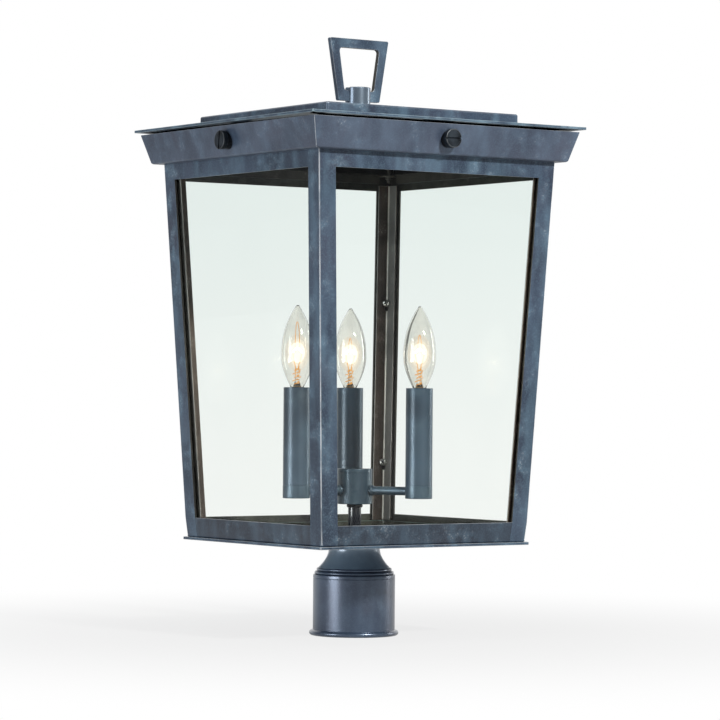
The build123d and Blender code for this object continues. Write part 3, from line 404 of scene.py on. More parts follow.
def carve(mesh, cutters):
    """Take closed cutters out of a closed bmesh."""
    data = bpy.data.meshes.new("work")
    mesh.to_mesh(data)
    mesh.free()
    piece = bpy.data.objects.new("work", data)
    scene.collection.objects.link(piece)
    tools = []
    for cutter in cutters:
        tool = bpy.data.objects.new("tool", bpy.data.meshes.new("tool"))
        cutter.to_mesh(tool.data)
        cutter.free()
        scene.collection.objects.link(tool)
        step = piece.modifiers.new("cut", "BOOLEAN")
        step.object = tool
        step.operation = "DIFFERENCE"
        tools.append(tool)
    bpy.context.view_layer.update()
    shaped = piece.evaluated_get(bpy.context.evaluated_depsgraph_get())
    carved = bmesh.new()
    carved.from_mesh(bpy.data.meshes.new_from_object(shaped))
    bmesh.ops.remove_doubles(carved, verts=carved.verts, dist=2e-6)
    bmesh.ops.dissolve_degenerate(carved, dist=2e-6, edges=carved.edges)
    for leftover in [piece] + tools:
        bpy.data.objects.remove(leftover)
    return carved


def facing(origin, direction, spin=0.0):
    """A placement whose +Z looks along a direction, turned about it by spin degrees."""
    turn = Vector(direction).to_track_quat("Z", "Y").to_matrix().to_4x4()
    return Matrix.Translation(origin) @ turn @ Matrix.Rotation(radians(spin), 4, "Z")


def drill(radius, start, end, origin, direction):
    """A round cutter that runs from start to end along a direction from the origin."""
    cutter = bmesh.new()
    middle = Matrix.Translation((0, 0, (start + end) / 2))
    bmesh.ops.create_cone(cutter, cap_ends=True, segments=40, radius1=radius, radius2=radius,
                          depth=end - start, matrix=facing(origin, direction) @ middle)
    return cutter


SCREW_FIT = 0.0001
DRILL_START = 0.030
DRILL_END = 0.050
drills = []
for side, outward in (("right", (1, 0, 0)), ("back", (0, 1, 0))):
    low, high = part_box("set_screw_" + side)
    hole_r = (high.z - low.z) / 2 + SCREW_FIT
    drills.append(drill(hole_r, DRILL_START, DRILL_END, (0, 0, (low.z + high.z) / 2), outward))
fitter = carve(spun(outline), drills)
# faces above the beads take the neck's lighter patina, which is painted light
for face in fitter.faces:
    face.material_index = int(face.calc_center_median().z > foot)
settle("fitter_casting", fitter, [fitter_patina, neck_patina_painted_light], "lantern", ["post_fitter"])

# the disc that closes the neck, through which the threaded nipple passes
disc = spun([(NIPPLE_HOLE_R, plate_under), (NIPPLE_HOLE_R, plate_under - DISC_T),
             (NECK_INNER_R, plate_under - DISC_T), (NECK_INNER_R, plate_under)])
settle("fitter_disc", disc, [inner_bronze], "lantern")

# ---------------------------------------------------------------- black fasteners
# Headless set screws of blackened steel lock the fitter. The lugs, gussets and lid studs brazed
# inside the cage have its dark bronze.


def blackened(name, dark, light, roughness=(0.30, 0.45), metallic=0.7, lacquer=0.0):
    """Blackened steel with a faint cloudiness, and a pale colour where a piece's attribute marks a face: on
    the thumb knobs' rims that is a painted highlight.
    """
    finish, tree, place, output = empty_finish(name)
    shade = cloud(tree, place, 90, 0.30, 0.70, detail=2)
    colour = over(tree, shade, tone(dark), tone(light))
    colour = over(tree, times(tree, wear_highlight_share(tree), cloud(tree, place, 90, 0.2, 0.6)), colour, tone("9a9c9c"))
    bump = add_node(tree, "Bump", {"Strength": 0.02, "Distance": 0.0003,
                                   "Height": cloud(tree, place, 500, 0.3, 0.7)})
    shader = add_node(tree, "BsdfPrincipled", {
        "Base Color": colour, "Metallic": metallic, "Normal": bump.outputs[0],
        "Roughness": span(tree, shade, 0, 1, *roughness), "Coat Weight": lacquer, "Coat Roughness": 0.12})
    tree.links.new(shader.outputs[0], output.inputs[0])
    return finish


black_steel_and_recess_shade = blackened("black_steel_and_recess_shade", "121416", "24282c")
for side in ("right", "back"):
    eased("set_screw_" + side + "_steel", "set_screw_" + side, [black_steel_and_recess_shade], 0.0002)
eased("retainer_lug_blocks", "retainer_lugs", [inner_bronze], 0.0003)
eased("gusset_plates", "corner_gussets", [inner_bronze], 0.0003)
eased("lid_stud_rivets", "lid_studs", [inner_bronze], 0.0002)

# ---------------------------------------------------------------- panes
# Four clear float panes, 3 mm thick, tapered as the faces are. They stand on the bottom rails
# with their heads up inside the top rails.


def clear_pane(name, low_tint, high_tint_and_shade, mirror):
    """Thin clear glass: light goes straight through, and more is mirrored toward a grazing view."""
    finish, tree, place, output = empty_finish(name)
    height = add_node(tree, "SeparateXYZ", {0: place}).outputs[2]
    # the tint darkens toward the top: painted shade, with random patches laid over it
    rising = span(tree, height, 0.10, 0.50, 0.0, 0.8)
    patchy = cloud(tree, place, 9, 0.0, 5.0, detail=2)
    top_shade_and_patches = add_node(tree, "Math", {0: rising, 1: patchy}, operation="ADD").outputs[0]
    colour = over(tree, top_shade_and_patches, tone(low_tint), tone(high_tint_and_shade))
    through = add_node(tree, "BsdfTransparent", {"Color": colour})
    sheen = add_node(tree, "BsdfGlossy", {"Color": (1, 1, 1, 1), "Roughness": 0.02})
    slant = add_node(tree, "LayerWeight", {"Blend": 0.5}).outputs["Facing"]
    rise = add_node(tree, "Math", {0: slant, 1: 5.0}, operation="POWER").outputs[0]
    share = add_node(tree, "Math", {0: rise, 1: 1 - mirror, 2: mirror}, operation="MULTIPLY_ADD")
    mixed = add_node(tree, "MixShader", {0: share.outputs[0], 1: through.outputs[0], 2: sheen.outputs[0]})
    tree.links.new(mixed.outputs[0], output.inputs[0])
    return finish


pane_glass = clear_pane("pane_glass", "fdfefd", "f9fcfb", 0.012)
for node in frame["nodes"]:
    if node.startswith("glass_pane_"):
        pane = merged(node)
        ease_edges(pane, 0.0003, segments=1)
        piece = node.replace("glass_pane", "pane")
        settle(piece, pane, [pane_glass], body_of(node), [node], flat_angle=5)

# ---------------------------------------------------------------- retainers
# A folded strip in each corner holds two panes. A pan-head screw on the diagonal passes through
# each slotted hole into a lug. The strip is dark bronze with a painted highlight along its fold. Its
# legs that face along X take a paler grey copy as painted light, and those along Y a browner copy
# as painted shade.

RETAINER_FOLD = 0.0011        # inside of the fold
retainer_shaded_brown = patina("retainer_shaded_brown", "3b312d", "5c4f46", "776b60", "463629", "f0eade",
                        metallic=0.3, roughness=(0.28, 0.42), mottle=0.6)
retainer_lit_grey = patina("retainer_lit_grey", "7a7977", "9b9996", "b0aea9", "807a74", "f6f0e6",
                       metallic=0.3, roughness=(0.28, 0.42), mottle=0.6)
strips = merged("glass_retainers")
folds = [edge for edge in strips.edges if on_fold(edge) and not edge.is_convex]
# the inside of each fold takes the pale colour in full: a painted highlight along the crease
ease_edges(strips, RETAINER_FOLD, evenly(1.0), folds, segments=3)
ease_edges(strips, 0.00025, evenly(0.5), sharpest=50)
# legs that face along X take the grey copy, which is painted light; legs that face along Y take the brown
# copy, which is painted shade
for face in strips.faces:
    face.material_index = int(abs(face.normal.x) > abs(face.normal.y))
settle("retainer_strips", strips, [retainer_shaded_brown, retainer_lit_grey], "lantern",
       ["glass_retainers"], even=True)

HEAD_R = 0.00385
HEAD_H = 0.0026
CROSS_ARM = 0.0023
CROSS_W = 0.0011
CROSS_DEPTH = 0.0014
SHANK_R = 0.0018
SHANK_L = 0.009
SHANK_POINT = 0.0005
SCREW_REACH = 0.006           # vertices within this of a screw's height belong to it


def gather(meshes):
    """Join several bmeshes into one."""
    whole = bmesh.new()
    for mesh in meshes:
        data = bpy.data.meshes.new("part")
        mesh.to_mesh(data)
        mesh.free()
        whole.from_mesh(data)
        bpy.data.meshes.remove(data)
    return whole


def slot_cutter(size, height):
    """A box-shaped cutter around a point on the axis."""
    cutter = bmesh.new()
    stretch = Matrix.Diagonal((*size, 1))
    bmesh.ops.create_cube(cutter, size=1, matrix=Matrix.Translation((0, 0, height)) @ stretch)
    return cutter


def pan_screw():
    """A pan head with a cross recess and its shank, its seat at the origin and its head down +Z."""
    dome = [(0.0, HEAD_H), (HEAD_R * 0.55, HEAD_H * 0.97), (HEAD_R * 0.8, HEAD_H * 0.82),
            (HEAD_R * 0.95, HEAD_H * 0.55), (HEAD_R, HEAD_H * 0.25), (HEAD_R, 0.0), (SHANK_R, 0.0),
            (SHANK_R, -SHANK_L), (0.0, -SHANK_L - SHANK_POINT)]
    head = spun(dome, steps=40, closed=False)
    sizes = ((2 * CROSS_ARM, CROSS_W, 2 * CROSS_DEPTH), (CROSS_W, 2 * CROSS_ARM, 2 * CROSS_DEPTH))
    head = carve(head, [slot_cutter(size, HEAD_H) for size in sizes])
    # the faces of the cross recess take the black steel: painted shade in the recess
    for face in head.faces:
        middle = face.calc_center_median()
        if middle.xy.length < CROSS_ARM + 0.0002 and 0 < middle.z < HEAD_H * 0.9:
            face.material_index = 1
    return head


def plated(name, light, dark):
    """Bare or plated metal, a little clouded."""
    finish, tree, place, output = empty_finish(name)
    shade = cloud(tree, place, 160, 0.3, 0.7, detail=3)
    shader = add_node(tree, "BsdfPrincipled", {
        "Base Color": over(tree, shade, tone(light), tone(dark)), "Metallic": 1.0,
        "Roughness": span(tree, shade, 0, 1, 0.25, 0.42)})
    tree.links.new(shader.outputs[0], output.inputs[0])
    return finish


screw_steel = plated("screw_steel", "dcdbd5", "a9a8a1")
screws = []
low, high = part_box("retainer_screws")
screw_points = [vertex.co for vertex in frame["nodes"]["retainer_screws"].data.vertices]
for height in (low.z + HEAD_R, high.z - HEAD_R):
    seat = HEAD_H + min(point.xy.length for point in screw_points if abs(point.z - height) < SCREW_REACH)
    for corner in (45, 135, 225, 315):
        outward = Vector((cos(radians(corner)), sin(radians(corner)), 0))
        spin = corner * 1.7 + height * 900      # no two recesses stand alike
        screw = pan_screw()
        screw.transform(facing(outward * seat + Vector((0, 0, height)), -outward, spin))
        screws.append(screw)
settle("retainer_screw_set", gather(screws), [screw_steel, black_steel_and_recess_shade], "lantern",
       ["retainer_screws"])

# ---------------------------------------------------------------- stem
# A dark spacer tube and a ring over the threaded nipple carry the hub; a thin nut under the
# fitter's disc clamps the whole stack.

stem_black = blackened("stem_black", "0f141e", "161d29", roughness=(0.20, 0.26), metallic=0.3, lacquer=0.7)
stem_low, stem_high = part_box("stem_tube")
stem_r = stem_high.x
collar_low, collar_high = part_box("stem_collar")
collar_r = collar_high.x
EDGE_R = 0.0006               # of the turned pieces' rounded edges
tube = spun([(NIPPLE_HOLE_R, stem_low.z), (stem_r, stem_low.z), (stem_r, stem_high.z),
             (NIPPLE_HOLE_R, stem_high.z)], steps=48)
settle("stem_spacer", tube, [stem_black], "lantern", ["stem_tube"])
outline = [(NIPPLE_HOLE_R, collar_low.z), (collar_r - EDGE_R, collar_low.z)]
outline += arc((collar_r - EDGE_R, (collar_low.z + collar_high.z) / 2), EDGE_R, -60, 60, 4)
outline += [(collar_r - EDGE_R, collar_high.z), (NIPPLE_HOLE_R, collar_high.z)]
settle("stem_ring", spun(outline, steps=48), [stem_black], "lantern", ["stem_collar"])

zinc = plated("zinc_plate", "b9b8b2", "8f8e88")
for node in ("stem_nipple", "nipple_nuts", "socket_straps"):
    eased(node + "_plated", node, [zinc], 0.0002)

# ---------------------------------------------------------------- hub and arms
# A turned cup with a spigot cap joins three straight tube arms, each with a small collar at the
# hub. All have the patina, a little greener and more even than outside.

lamp_patina = patina("lamp_patina", "324352", "4d6272", "768f9a", "424c56", "97a1a6", metallic=0.4,
                     roughness=(0.34, 0.44), mottle=0.6, lacquer=0.25, shine=0.22, pitted=0.0, wave=0.0)
hub_low, hub_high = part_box("hub_body")
cap_low, cap_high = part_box("hub_cap")
hub_r = hub_high.x
HUB_WALL = 0.0015
HUB_FLOOR = 0.0025
CAP_EDGE_R = 0.0008
SEAM = 0.0003                 # chamfer at each joint line
SLIP = 0.0001                 # clearance of a spigot in its tube
outline = [(NIPPLE_HOLE_R, hub_low.z), (hub_r - EDGE_R, hub_low.z)]
outline += arc((hub_r - EDGE_R, hub_low.z + EDGE_R), EDGE_R, -80, 0, 4)
outline += [(hub_r, hub_high.z - SEAM), (hub_r - SEAM, hub_high.z), (hub_r - HUB_WALL, hub_high.z),
            (hub_r - HUB_WALL, hub_low.z + HUB_FLOOR), (NIPPLE_HOLE_R, hub_low.z + HUB_FLOOR)]
settle("hub_cup", spun(outline, steps=72), [lamp_patina], "lantern", ["hub_body"])

spigot_r = hub_r - HUB_WALL - SLIP
outline = [(0.0, hub_high.z), (spigot_r - HUB_WALL, hub_high.z), (spigot_r - HUB_WALL, cap_low.z),
           (spigot_r, cap_low.z), (spigot_r, hub_high.z), (hub_r - SEAM, hub_high.z),
           (hub_r, hub_high.z + SEAM)]
outline += arc((hub_r - CAP_EDGE_R, cap_high.z - CAP_EDGE_R), CAP_EDGE_R, 0, 90, 5)
outline += [(0.0, cap_high.z)]
settle("hub_cover", spun(outline, steps=72, closed=False), [lamp_patina], "lantern",
       ["hub_cap"])

CANDLES = ("left", "back", "front")
ARM_R = 0.00425
ARM_WALL = 0.0011
ARM_IN_HUB = 0.0013           # how far the arm's end stands inside the wall
ARM_IN_CUP = 0.0018
ARM_COLLAR_R = 0.0055
ARM_COLLAR_L = 0.0036
COLLAR_CHAMFER = 0.0008
COLLAR_ROUND_R = 0.0012
arm_low, arm_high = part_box("lamp_arms")
arm_z = (arm_low.z + arm_high.z) / 2
candle_axis = {}
for candle in CANDLES:
    low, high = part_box("bulb_base_" + candle)
    candle_axis[candle] = ((low + high) / 2).xy
sleeve_low, sleeve_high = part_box("candle_sleeves")
cup_low, cup_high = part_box("candle_cups")
sleeve_r = (sleeve_high.y - sleeve_low.y) / 2 - candle_axis["back"].y
cup_r = (cup_high.y - cup_low.y) / 2 - candle_axis["back"].y
arms = []
for candle in CANDLES:
    axis = candle_axis[candle]
    start = hub_r - HUB_WALL - ARM_IN_HUB
    end = axis.length - cup_r + ARM_IN_CUP
    collar = hub_r + SLIP
    arm = spun([(ARM_R - ARM_WALL, start), (ARM_R, start), (ARM_R, end), (ARM_R - ARM_WALL, end)], steps=32)
    ring = [(ARM_R, collar), (ARM_COLLAR_R - COLLAR_CHAMFER, collar)]
    ring += arc((ARM_COLLAR_R - COLLAR_ROUND_R, collar + ARM_COLLAR_L / 2), COLLAR_ROUND_R, -70, 70, 6)
    ring += [(ARM_COLLAR_R - COLLAR_CHAMFER, collar + ARM_COLLAR_L), (ARM_R, collar + ARM_COLLAR_L)]
    arm = gather([arm, spun(ring, steps=40)])
    arm.transform(facing((0, 0, arm_z), (*axis.normalized(), 0)))
    arms.append(arm)
settle("arm_tubes", gather(arms), [lamp_patina], "lantern", ["lamp_arms"])

# ---------------------------------------------------------------- cups and sleeves
# Under each candle sits a turned cup that takes the arm. A plain brass tube stands on it, a hair
# narrower, which leaves a fine seam, and hides the lamp socket.

CUP_FLOOR = 0.002
CUP_WALL = 0.0022
SLEEVE_WALL = 0.001
top = sleeve_high.z
seat_r = sleeve_r - SLEEVE_WALL - SLIP
cup_outline = [(0.0, cup_low.z), (cup_r - EDGE_R, cup_low.z)]
cup_outline += arc((cup_r - EDGE_R, cup_low.z + EDGE_R), EDGE_R, -80, 0, 4)
cup_outline += [(cup_r, sleeve_low.z - SEAM), (cup_r - SEAM, sleeve_low.z), (seat_r, sleeve_low.z),
                (seat_r, cup_high.z), (cup_r - CUP_WALL, cup_high.z),
                (cup_r - CUP_WALL, cup_low.z + CUP_FLOOR), (0.0, cup_low.z + CUP_FLOOR)]
sleeve_outline = [(sleeve_r - SLEEVE_WALL, sleeve_low.z), (sleeve_r - SEAM, sleeve_low.z),
                  (sleeve_r, sleeve_low.z + SEAM), (sleeve_r, top - SEAM), (sleeve_r - SEAM, top),
                  (sleeve_r - SLEEVE_WALL, top)]
cups = []
sleeves = []
for candle in CANDLES:
    spot = Matrix.Translation((*candle_axis[candle], 0))
    cup = spun(cup_outline, steps=64, closed=False)
    cup.transform(spot)
    cups.append(cup)
    sleeve = spun(sleeve_outline, steps=64)
    sleeve.transform(spot)
    sleeves.append(sleeve)
settle("cup_turnings", gather(cups), [lamp_patina], "lantern", ["candle_cups"])
sleeve_patina = patina("sleeve_patina", "323f4d", "4b5f71", "677d89", "434d58", "959fa4", metallic=0.35,
                       roughness=(0.34, 0.42), mottle=0.4, lacquer=0.2, shine=0.22, pitted=0.0, wave=0.0)
settle("sleeve_tubes", gather(sleeves), [sleeve_patina], "lantern", ["candle_sleeves"])

# ---------------------------------------------------------------- sockets and wires
# Moulded black sockets on bent straps stand in the sleeves; their leads run through the arms to
# the hub, where cone connectors join them to the supply lead.


def moulded(name, light, dark):
    """Moulded plastic with a fine orange-peel surface."""
    finish, tree, place, output = empty_finish(name)
    shade = cloud(tree, place, 130, 0.3, 0.7)
    bump = add_node(tree, "Bump", {"Strength": 0.2, "Distance": 0.0002,
                                   "Height": cloud(tree, place, 1500, 0.3, 0.7)})
    shader = add_node(tree, "BsdfPrincipled", {
        "Base Color": over(tree, shade, tone(light), tone(dark)), "Normal": bump.outputs[0],
        "Roughness": span(tree, shade, 0, 1, 0.42, 0.6)})
    tree.links.new(shader.outputs[0], output.inputs[0])
    return finish


black_plastic = moulded("black_plastic", "1d1d1d", "121212")
eased("socket_mouldings", "lamp_sockets", [black_plastic], 0.0002)
eased("lead_wire_set", "lead_wires", [black_plastic], 0.0002)
eased("connector_cones", "wire_connectors", [moulded("grey_plastic", "6a6a66", "55554f")], 0.0003)

# ---------------------------------------------------------------- bulbs
# Clear flame-shaped candle lamps: a thin envelope with a drawn tip, a brass screw base, and a
# glass mount whose wires hold a coiled filament, lit white-hot.

BULB_WALL = 0.0006
BELLY = 0.388                 # height of the widest ring, as a share of the envelope
TIP_R = 0.0012
FLAME_POWER = 2.3
NECK_SHARE = 0.40             # radius at the neck, as a share of the belly's

bulb_low, bulb_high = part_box("bulb_glass_left")
bulb_z = bulb_low.z
bulb_top = bulb_high.z
bulb_height = bulb_top - bulb_z
belly_r = (bulb_high.y - bulb_low.y) / 2


def flame(inset, steps=16):
    """The envelope's outline from neck to tip, drawn in by inset."""
    outline = []
    for step in range(steps):
        share = step / steps
        swell = sin(pi / 2 * share)
        radius = belly_r * (NECK_SHARE + (1 - NECK_SHARE) * swell)
        outline.append((radius - inset, bulb_z + bulb_height * BELLY * share))
    for step in range(steps + 1):
        share = step / steps
        radius = TIP_R + (belly_r - TIP_R) * (1 - share ** FLAME_POWER)
        height = bulb_z + bulb_height * (BELLY + (1 - BELLY) * share)
        outline.append((max(radius - inset, 0.0002), height - inset))
    return outline


def bulb_envelope(name):
    """Clear thin glass, faintly grey, with strong reflections toward its outline."""
    finish, tree, place, output = empty_finish(name)
    haze = cloud(tree, place, 60, 0.3, 0.7, detail=2)
    colour = over(tree, haze, tone("f2f1ee"), tone("faf8f4"))
    shader = add_node(tree, "BsdfPrincipled", {
        "Base Color": colour, "Roughness": 0.0, "IOR": 1.45, "Transmission Weight": 1.0})
    tree.links.new(shader.outputs[0], output.inputs[0])
    return finish


def glowing(name, colour, strength, share=1.0):
    """A glowing surface; a share under 1 lets what is behind it through."""
    finish, tree, place, output = empty_finish(name)
    flicker = span(tree, cloud(tree, place, 300, 0.2, 0.8), 0, 1, 0.9 * strength, 1.1 * strength)
    light = add_node(tree, "Emission", {"Color": tone(colour), "Strength": flicker})
    through = add_node(tree, "BsdfTransparent", {})
    mixed = add_node(tree, "MixShader", {0: share, 1: through.outputs[0], 2: light.outputs[0]})
    tree.links.new(mixed.outputs[0], output.inputs[0])
    return finish


def wire(points, radius):
    """A round wire along points, as a mesh."""
    curve = bpy.data.curves.new("wire", "CURVE")
    curve.dimensions = "3D"
    curve.bevel_depth = radius
    curve.bevel_resolution = 2
    curve.use_fill_caps = True
    line = curve.splines.new("NURBS")
    line.points.add(len(points) - 1)
    for point, target in zip(line.points, points):
        point.co = (*target, 1)
    line.order_u = 3
    line.use_endpoint_u = True
    work = bpy.data.objects.new("wire", curve)
    data = bpy.data.meshes.new_from_object(work)
    mesh = bmesh.new()
    mesh.from_mesh(data)
    bpy.data.objects.remove(work)
    return mesh


clear_envelope = bulb_envelope("bulb_envelope_glass")
brass = plated("rolled_brass", "c39a55", "8f6a34")
white_hot = glowing("white_hot", "fff1d8", 12)
# the mount's wires glow gold although they are no lamp: painted light for the filament's light on them
wire_painted_glow = glowing("wire_painted_glow", "f0a01c", 1.05)
glow_core = glowing("glow_core", "fff6e4", 3.0, 0.30)
glow_middle = glowing("glow_middle", "fff0d6", 2.0, 0.10)
glow_fringe = glowing("glow_fringe", "ffcf90", 1.35, 0.065)

THREAD_R = 0.00595
THREAD_DEPTH = 0.0004
THREAD_TURNS = 5
THREAD_FOOT = 0.0034          # first turn, above the base's contact
BASE_RIM = 0.00035            # how far the top of the base stands out past the thread
FILAMENT_UP = 0.0345          # above the neck
FILAMENT_HALF = 0.0055
FILAMENT_BOW = 0.004
FILAMENT_WIRE_R = 0.00022
COIL_R = 0.0009
COIL_TURNS = 14
MOUNT_H = 0.019
HOLDER_WIRE_R = 0.00040
LOOP_WIRE_R = 0.00030
ANCHOR_WIRE_R = 0.00042
ANCHORS = 5
ANCHOR_STEP = 0.0034
GLOW_SHELLS = ((0.0074, 0.0100), (0.0094, 0.0136), (0.0120, 0.0182))   # half width, half height
LOOP_REACH = {"left": 0.031, "back": 0.017, "front": 0.019}   # of the upper support, above the coil

filament_z = bulb_z + FILAMENT_UP
mount_top = bulb_z + MOUNT_H
for candle in CANDLES:
    axis = candle_axis[candle]
    spot = Matrix.Translation((*axis, 0))
    body = "bulb_" + candle
    outline = flame(0) + [(0.0, bulb_top), (0.0, bulb_top - 2 * BULB_WALL)] + flame(BULB_WALL)[::-1]
    shell = spun(outline, steps=64)
    shell.transform(spot)
    settle("bulb_envelope_" + candle, shell, [clear_envelope], body,
           ["bulb_glass_" + candle], flat_angle=60)

    # the brass base, with its rolled thread and the contact under it
    base_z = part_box("bulb_base_" + candle)[0].z
    outline = [(0.0, base_z), (0.0022, base_z), (0.0026, base_z + 0.001), (0.0046, base_z + 0.0025)]
    for step in range(THREAD_TURNS * 4 + 1):
        depth = THREAD_DEPTH * (0.5 - 0.5 * cos(2 * pi * step / 4))
        outline.append((THREAD_R - depth, base_z + THREAD_FOOT + step * 0.0008))
    outline += [(THREAD_R + BASE_RIM, bulb_z - 0.0015), (THREAD_R + BASE_RIM, bulb_z), (0.0, bulb_z)]
    base = spun(outline, steps=48, closed=False)
    base.transform(spot)
    settle("bulb_cap_" + candle, base, [brass], body, ["bulb_base_" + candle])

    # the glass mount, and the wires that stand in it and around it
    mount = spun([(0.0, bulb_z), (0.0044, bulb_z), (0.0034, bulb_z + 0.003), (0.0024, bulb_z + 0.006),
                  (0.0019, mount_top - 0.003), (0.0023, mount_top - 0.001), (0.0012, mount_top),
                  (0.0, mount_top)], steps=24, closed=False)
    mount.transform(spot)
    settle("bulb_mount_" + candle, mount, [clear_envelope], body)
    wires = []
    for side in (-1, 1):
        wires.append(wire([(side * 0.0012, 0.0004, mount_top - 0.008),
                           (side * 0.0030, -0.0012, mount_top - 0.003),
                           (side * 0.0012, 0.0010, mount_top + 0.001),
                           (side * 0.0046, 0.0, filament_z - 0.006),
                           (side * FILAMENT_HALF, 0.0, filament_z)], HOLDER_WIRE_R))
    reach = filament_z + LOOP_REACH[candle]
    wires.append(wire([(-0.0022, 0.0010, filament_z), (-0.0016, 0.0012, reach - 0.008),
                       (-0.0004, 0.0006, reach), (0.0008, 0.0, reach - 0.002),
                       (0.0016, -0.0006, reach - 0.010), (0.0026, -0.0008, filament_z)], LOOP_WIRE_R))
    for step in range(ANCHORS):
        level = bulb_z + 0.003 + step * ANCHOR_STEP
        lean = 0.0009 * (-1) ** step
        wires.append(wire([(-0.0040 + lean, 0.0012, level), (0.0024 + lean, -0.0018, level + 0.0024),
                           (-0.0022, -0.0014, level + 0.0004), (0.0040 - lean, 0.0012, level + 0.0044)],
                          ANCHOR_WIRE_R))
    mesh = gather(wires)
    mesh.transform(spot)
    settle("bulb_wires_" + candle, mesh, [wire_painted_glow], body)

    # the coiled filament, and three soft shells for its glow
    coil = []
    for step in range(COIL_TURNS * 8 + 1):
        turn = 2 * pi * step / 8
        along = -FILAMENT_HALF + 2 * FILAMENT_HALF * step / (COIL_TURNS * 8)
        bow = FILAMENT_BOW * (1 - (along / FILAMENT_HALF) ** 2)
        coil.append((along, COIL_R * cos(turn), filament_z + bow + COIL_R * sin(turn)))
    mesh = wire(coil, FILAMENT_WIRE_R)
    mesh.transform(spot)
    settle("bulb_filament_" + candle, mesh, [white_hot], body)
    shells = []
    for index, (wide, tall) in enumerate(GLOW_SHELLS):
        ball = bmesh.new()
        bmesh.ops.create_uvsphere(ball, u_segments=32, v_segments=20, radius=1)
        ball.transform(Matrix.Translation((*axis, filament_z)) @ Matrix.Diagonal((wide, wide, tall, 1)))
        for face in ball.faces:
            face.material_index = index
        shells.append(ball)
    settle("bulb_glow_" + candle, gather(shells), [glow_core, glow_middle, glow_fringe], body)

# ---------------------------------------------------------------- fascia and thumb screws
# A sloping band of four mitred sides, folded in at its foot, stands on the cage. A slotted thumb
# screw in a boss on each side grips the lid.


def rubbed_fascia(centre, normal):
    """The fascia is rubbed most along its mitres, and a little along its foot and head."""
    return 0.75 if abs(abs(centre.x) - abs(centre.y)) < 0.002 else 0.4


fascia_patina = patina("fascia_patina", "353f51", "4e5a6d", "667f96", "4b4a5a", "c8cccf", mottle=0.7)
for node in frame["nodes"]:
    if node.startswith("fascia_"):
        eased(node + "_band", node, [fascia_patina, inner_bronze], SHEET_EDGE, rubbed_fascia, faces_axis)
eased("thumb_boss_set", "thumb_bosses", [black_steel_and_recess_shade], 0.0003)

THUMB_R = 0.0092
THUMB_HEAD_L = 0.0053
THUMB_SHANK_R = 0.0030
THUMB_CHAMFER = 0.0005
THUMB_POINT = 0.0006
FACE_GROOVE = (0.0022, 0.0020, 0.0010)   # in from the rim: the face's edge, the groove's two edges
FACE_GROOVE_DEPTH = 0.0002
SLOT_W = 0.0017
SLOT_DEPTH = 0.0019
thumb_steel = blackened("thumb_steel", "191e23", "323a42", roughness=(0.34, 0.46))
OUTWARD = {"front": (0, -1, 0), "right": (1, 0, 0), "back": (0, 1, 0), "left": (-1, 0, 0)}
SLOT_TURNS = {"front": 2.0, "right": 40.0, "back": 115.0, "left": 84.0}
for side, outward in OUTWARD.items():
    node = "thumb_screw_" + side
    low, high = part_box(node)
    direction = Vector(outward)
    near, far = sorted((abs(low.dot(direction)), abs(high.dot(direction))))
    length = far - near
    seat = length - THUMB_HEAD_L
    groove = length - FACE_GROOVE_DEPTH
    outline = [(0.0, length), (THUMB_R - FACE_GROOVE[0], length), (THUMB_R - FACE_GROOVE[1], groove),
               (THUMB_R - FACE_GROOVE[2], groove)]
    outline += arc((THUMB_R - EDGE_R, groove - EDGE_R), EDGE_R, 90, 0, 4)
    outline += [(THUMB_R, seat + THUMB_CHAMFER), (THUMB_R - THUMB_CHAMFER, seat), (THUMB_SHANK_R, seat),
                (THUMB_SHANK_R, THUMB_POINT), (THUMB_SHANK_R - THUMB_POINT, 0.0), (0.0, 0.0)]
    head = spun(outline, steps=72, closed=False)
    # a thin ring at the rim of the face takes the pale colour: a painted highlight
    rim = head.faces.layers.float.new("wear_and_highlight")
    for face in head.faces:
        centre = face.calc_center_median()
        on_rim = centre.z > length - EDGE_R and centre.xy.length > THUMB_R - 0.0009
        face[rim] = 0.2 if on_rim else 0.0
    head = carve(head, [slot_cutter((3 * THUMB_R, SLOT_W, 2 * SLOT_DEPTH), length)])
    level = (low.z + high.z) / 2
    head.transform(facing(direction * near + Vector((0, 0, level)), direction, SLOT_TURNS[side]))
    settle("thumb_knob_" + side, head, [thumb_steel], node, [node])

# ---------------------------------------------------------------- lid
# A flat roof sheet with a shallow folded box on top lifts off as one. Bent tabs under it stand
# inside the fascia.


def looks_down(normal, centre):
    """True for a face on the underside."""
    return normal.z < -0.5


def rubbed_mitre(centre, normal):
    """Rubbed where two folded sides meet, and hardly along the top."""
    return 0.7 if abs(abs(centre.x) - abs(centre.y)) < 0.002 and normal.z < 0.5 else 0.12


rim_patina = patina("rim_patina", "303d51", "495a70", "7c98a8", "464b59", "a9c4c9")
# the underside of the roof sheet inside its rim, and the underside of the box, are near black: painted
# shade
underside_painted_shade = patina("underside_painted_shade", "0c0b0a", "141211", "1c1a18", "100e0d", "2a2a28", metallic=0.0,
                   roughness=(0.7, 0.9), mottle=0.5, lacquer=0.0, gloss=0.0)
ROOF_MARGIN = 0.0185          # of the underside, left with the patina of the rim
sheet = merged("roof_plate")
ease_edges(sheet, SHEET_EDGE, evenly(0.5))
under = [face for face in sheet.faces if face.normal.z < -0.5 and face.calc_area() > 0.001]
bmesh.ops.inset_region(sheet, faces=under, thickness=ROOF_MARGIN, use_boundary=True,
                       use_even_offset=True)
# the middle of the underside takes the near-black painted shade
for face in under:
    face.material_index = 1
settle("roof_sheet", sheet, [rim_patina, underside_painted_shade], "lid", ["roof_plate"], even=True)
eased("roof_box", "roof_tier", [slate_patina, underside_painted_shade], 0.0006, rubbed_mitre, looks_down)
eased("lid_tab_set", "lid_tabs", [inner_bronze], 0.0003)
eased("finial_bolt_steel", "finial_bolt", [zinc], 0.0002)

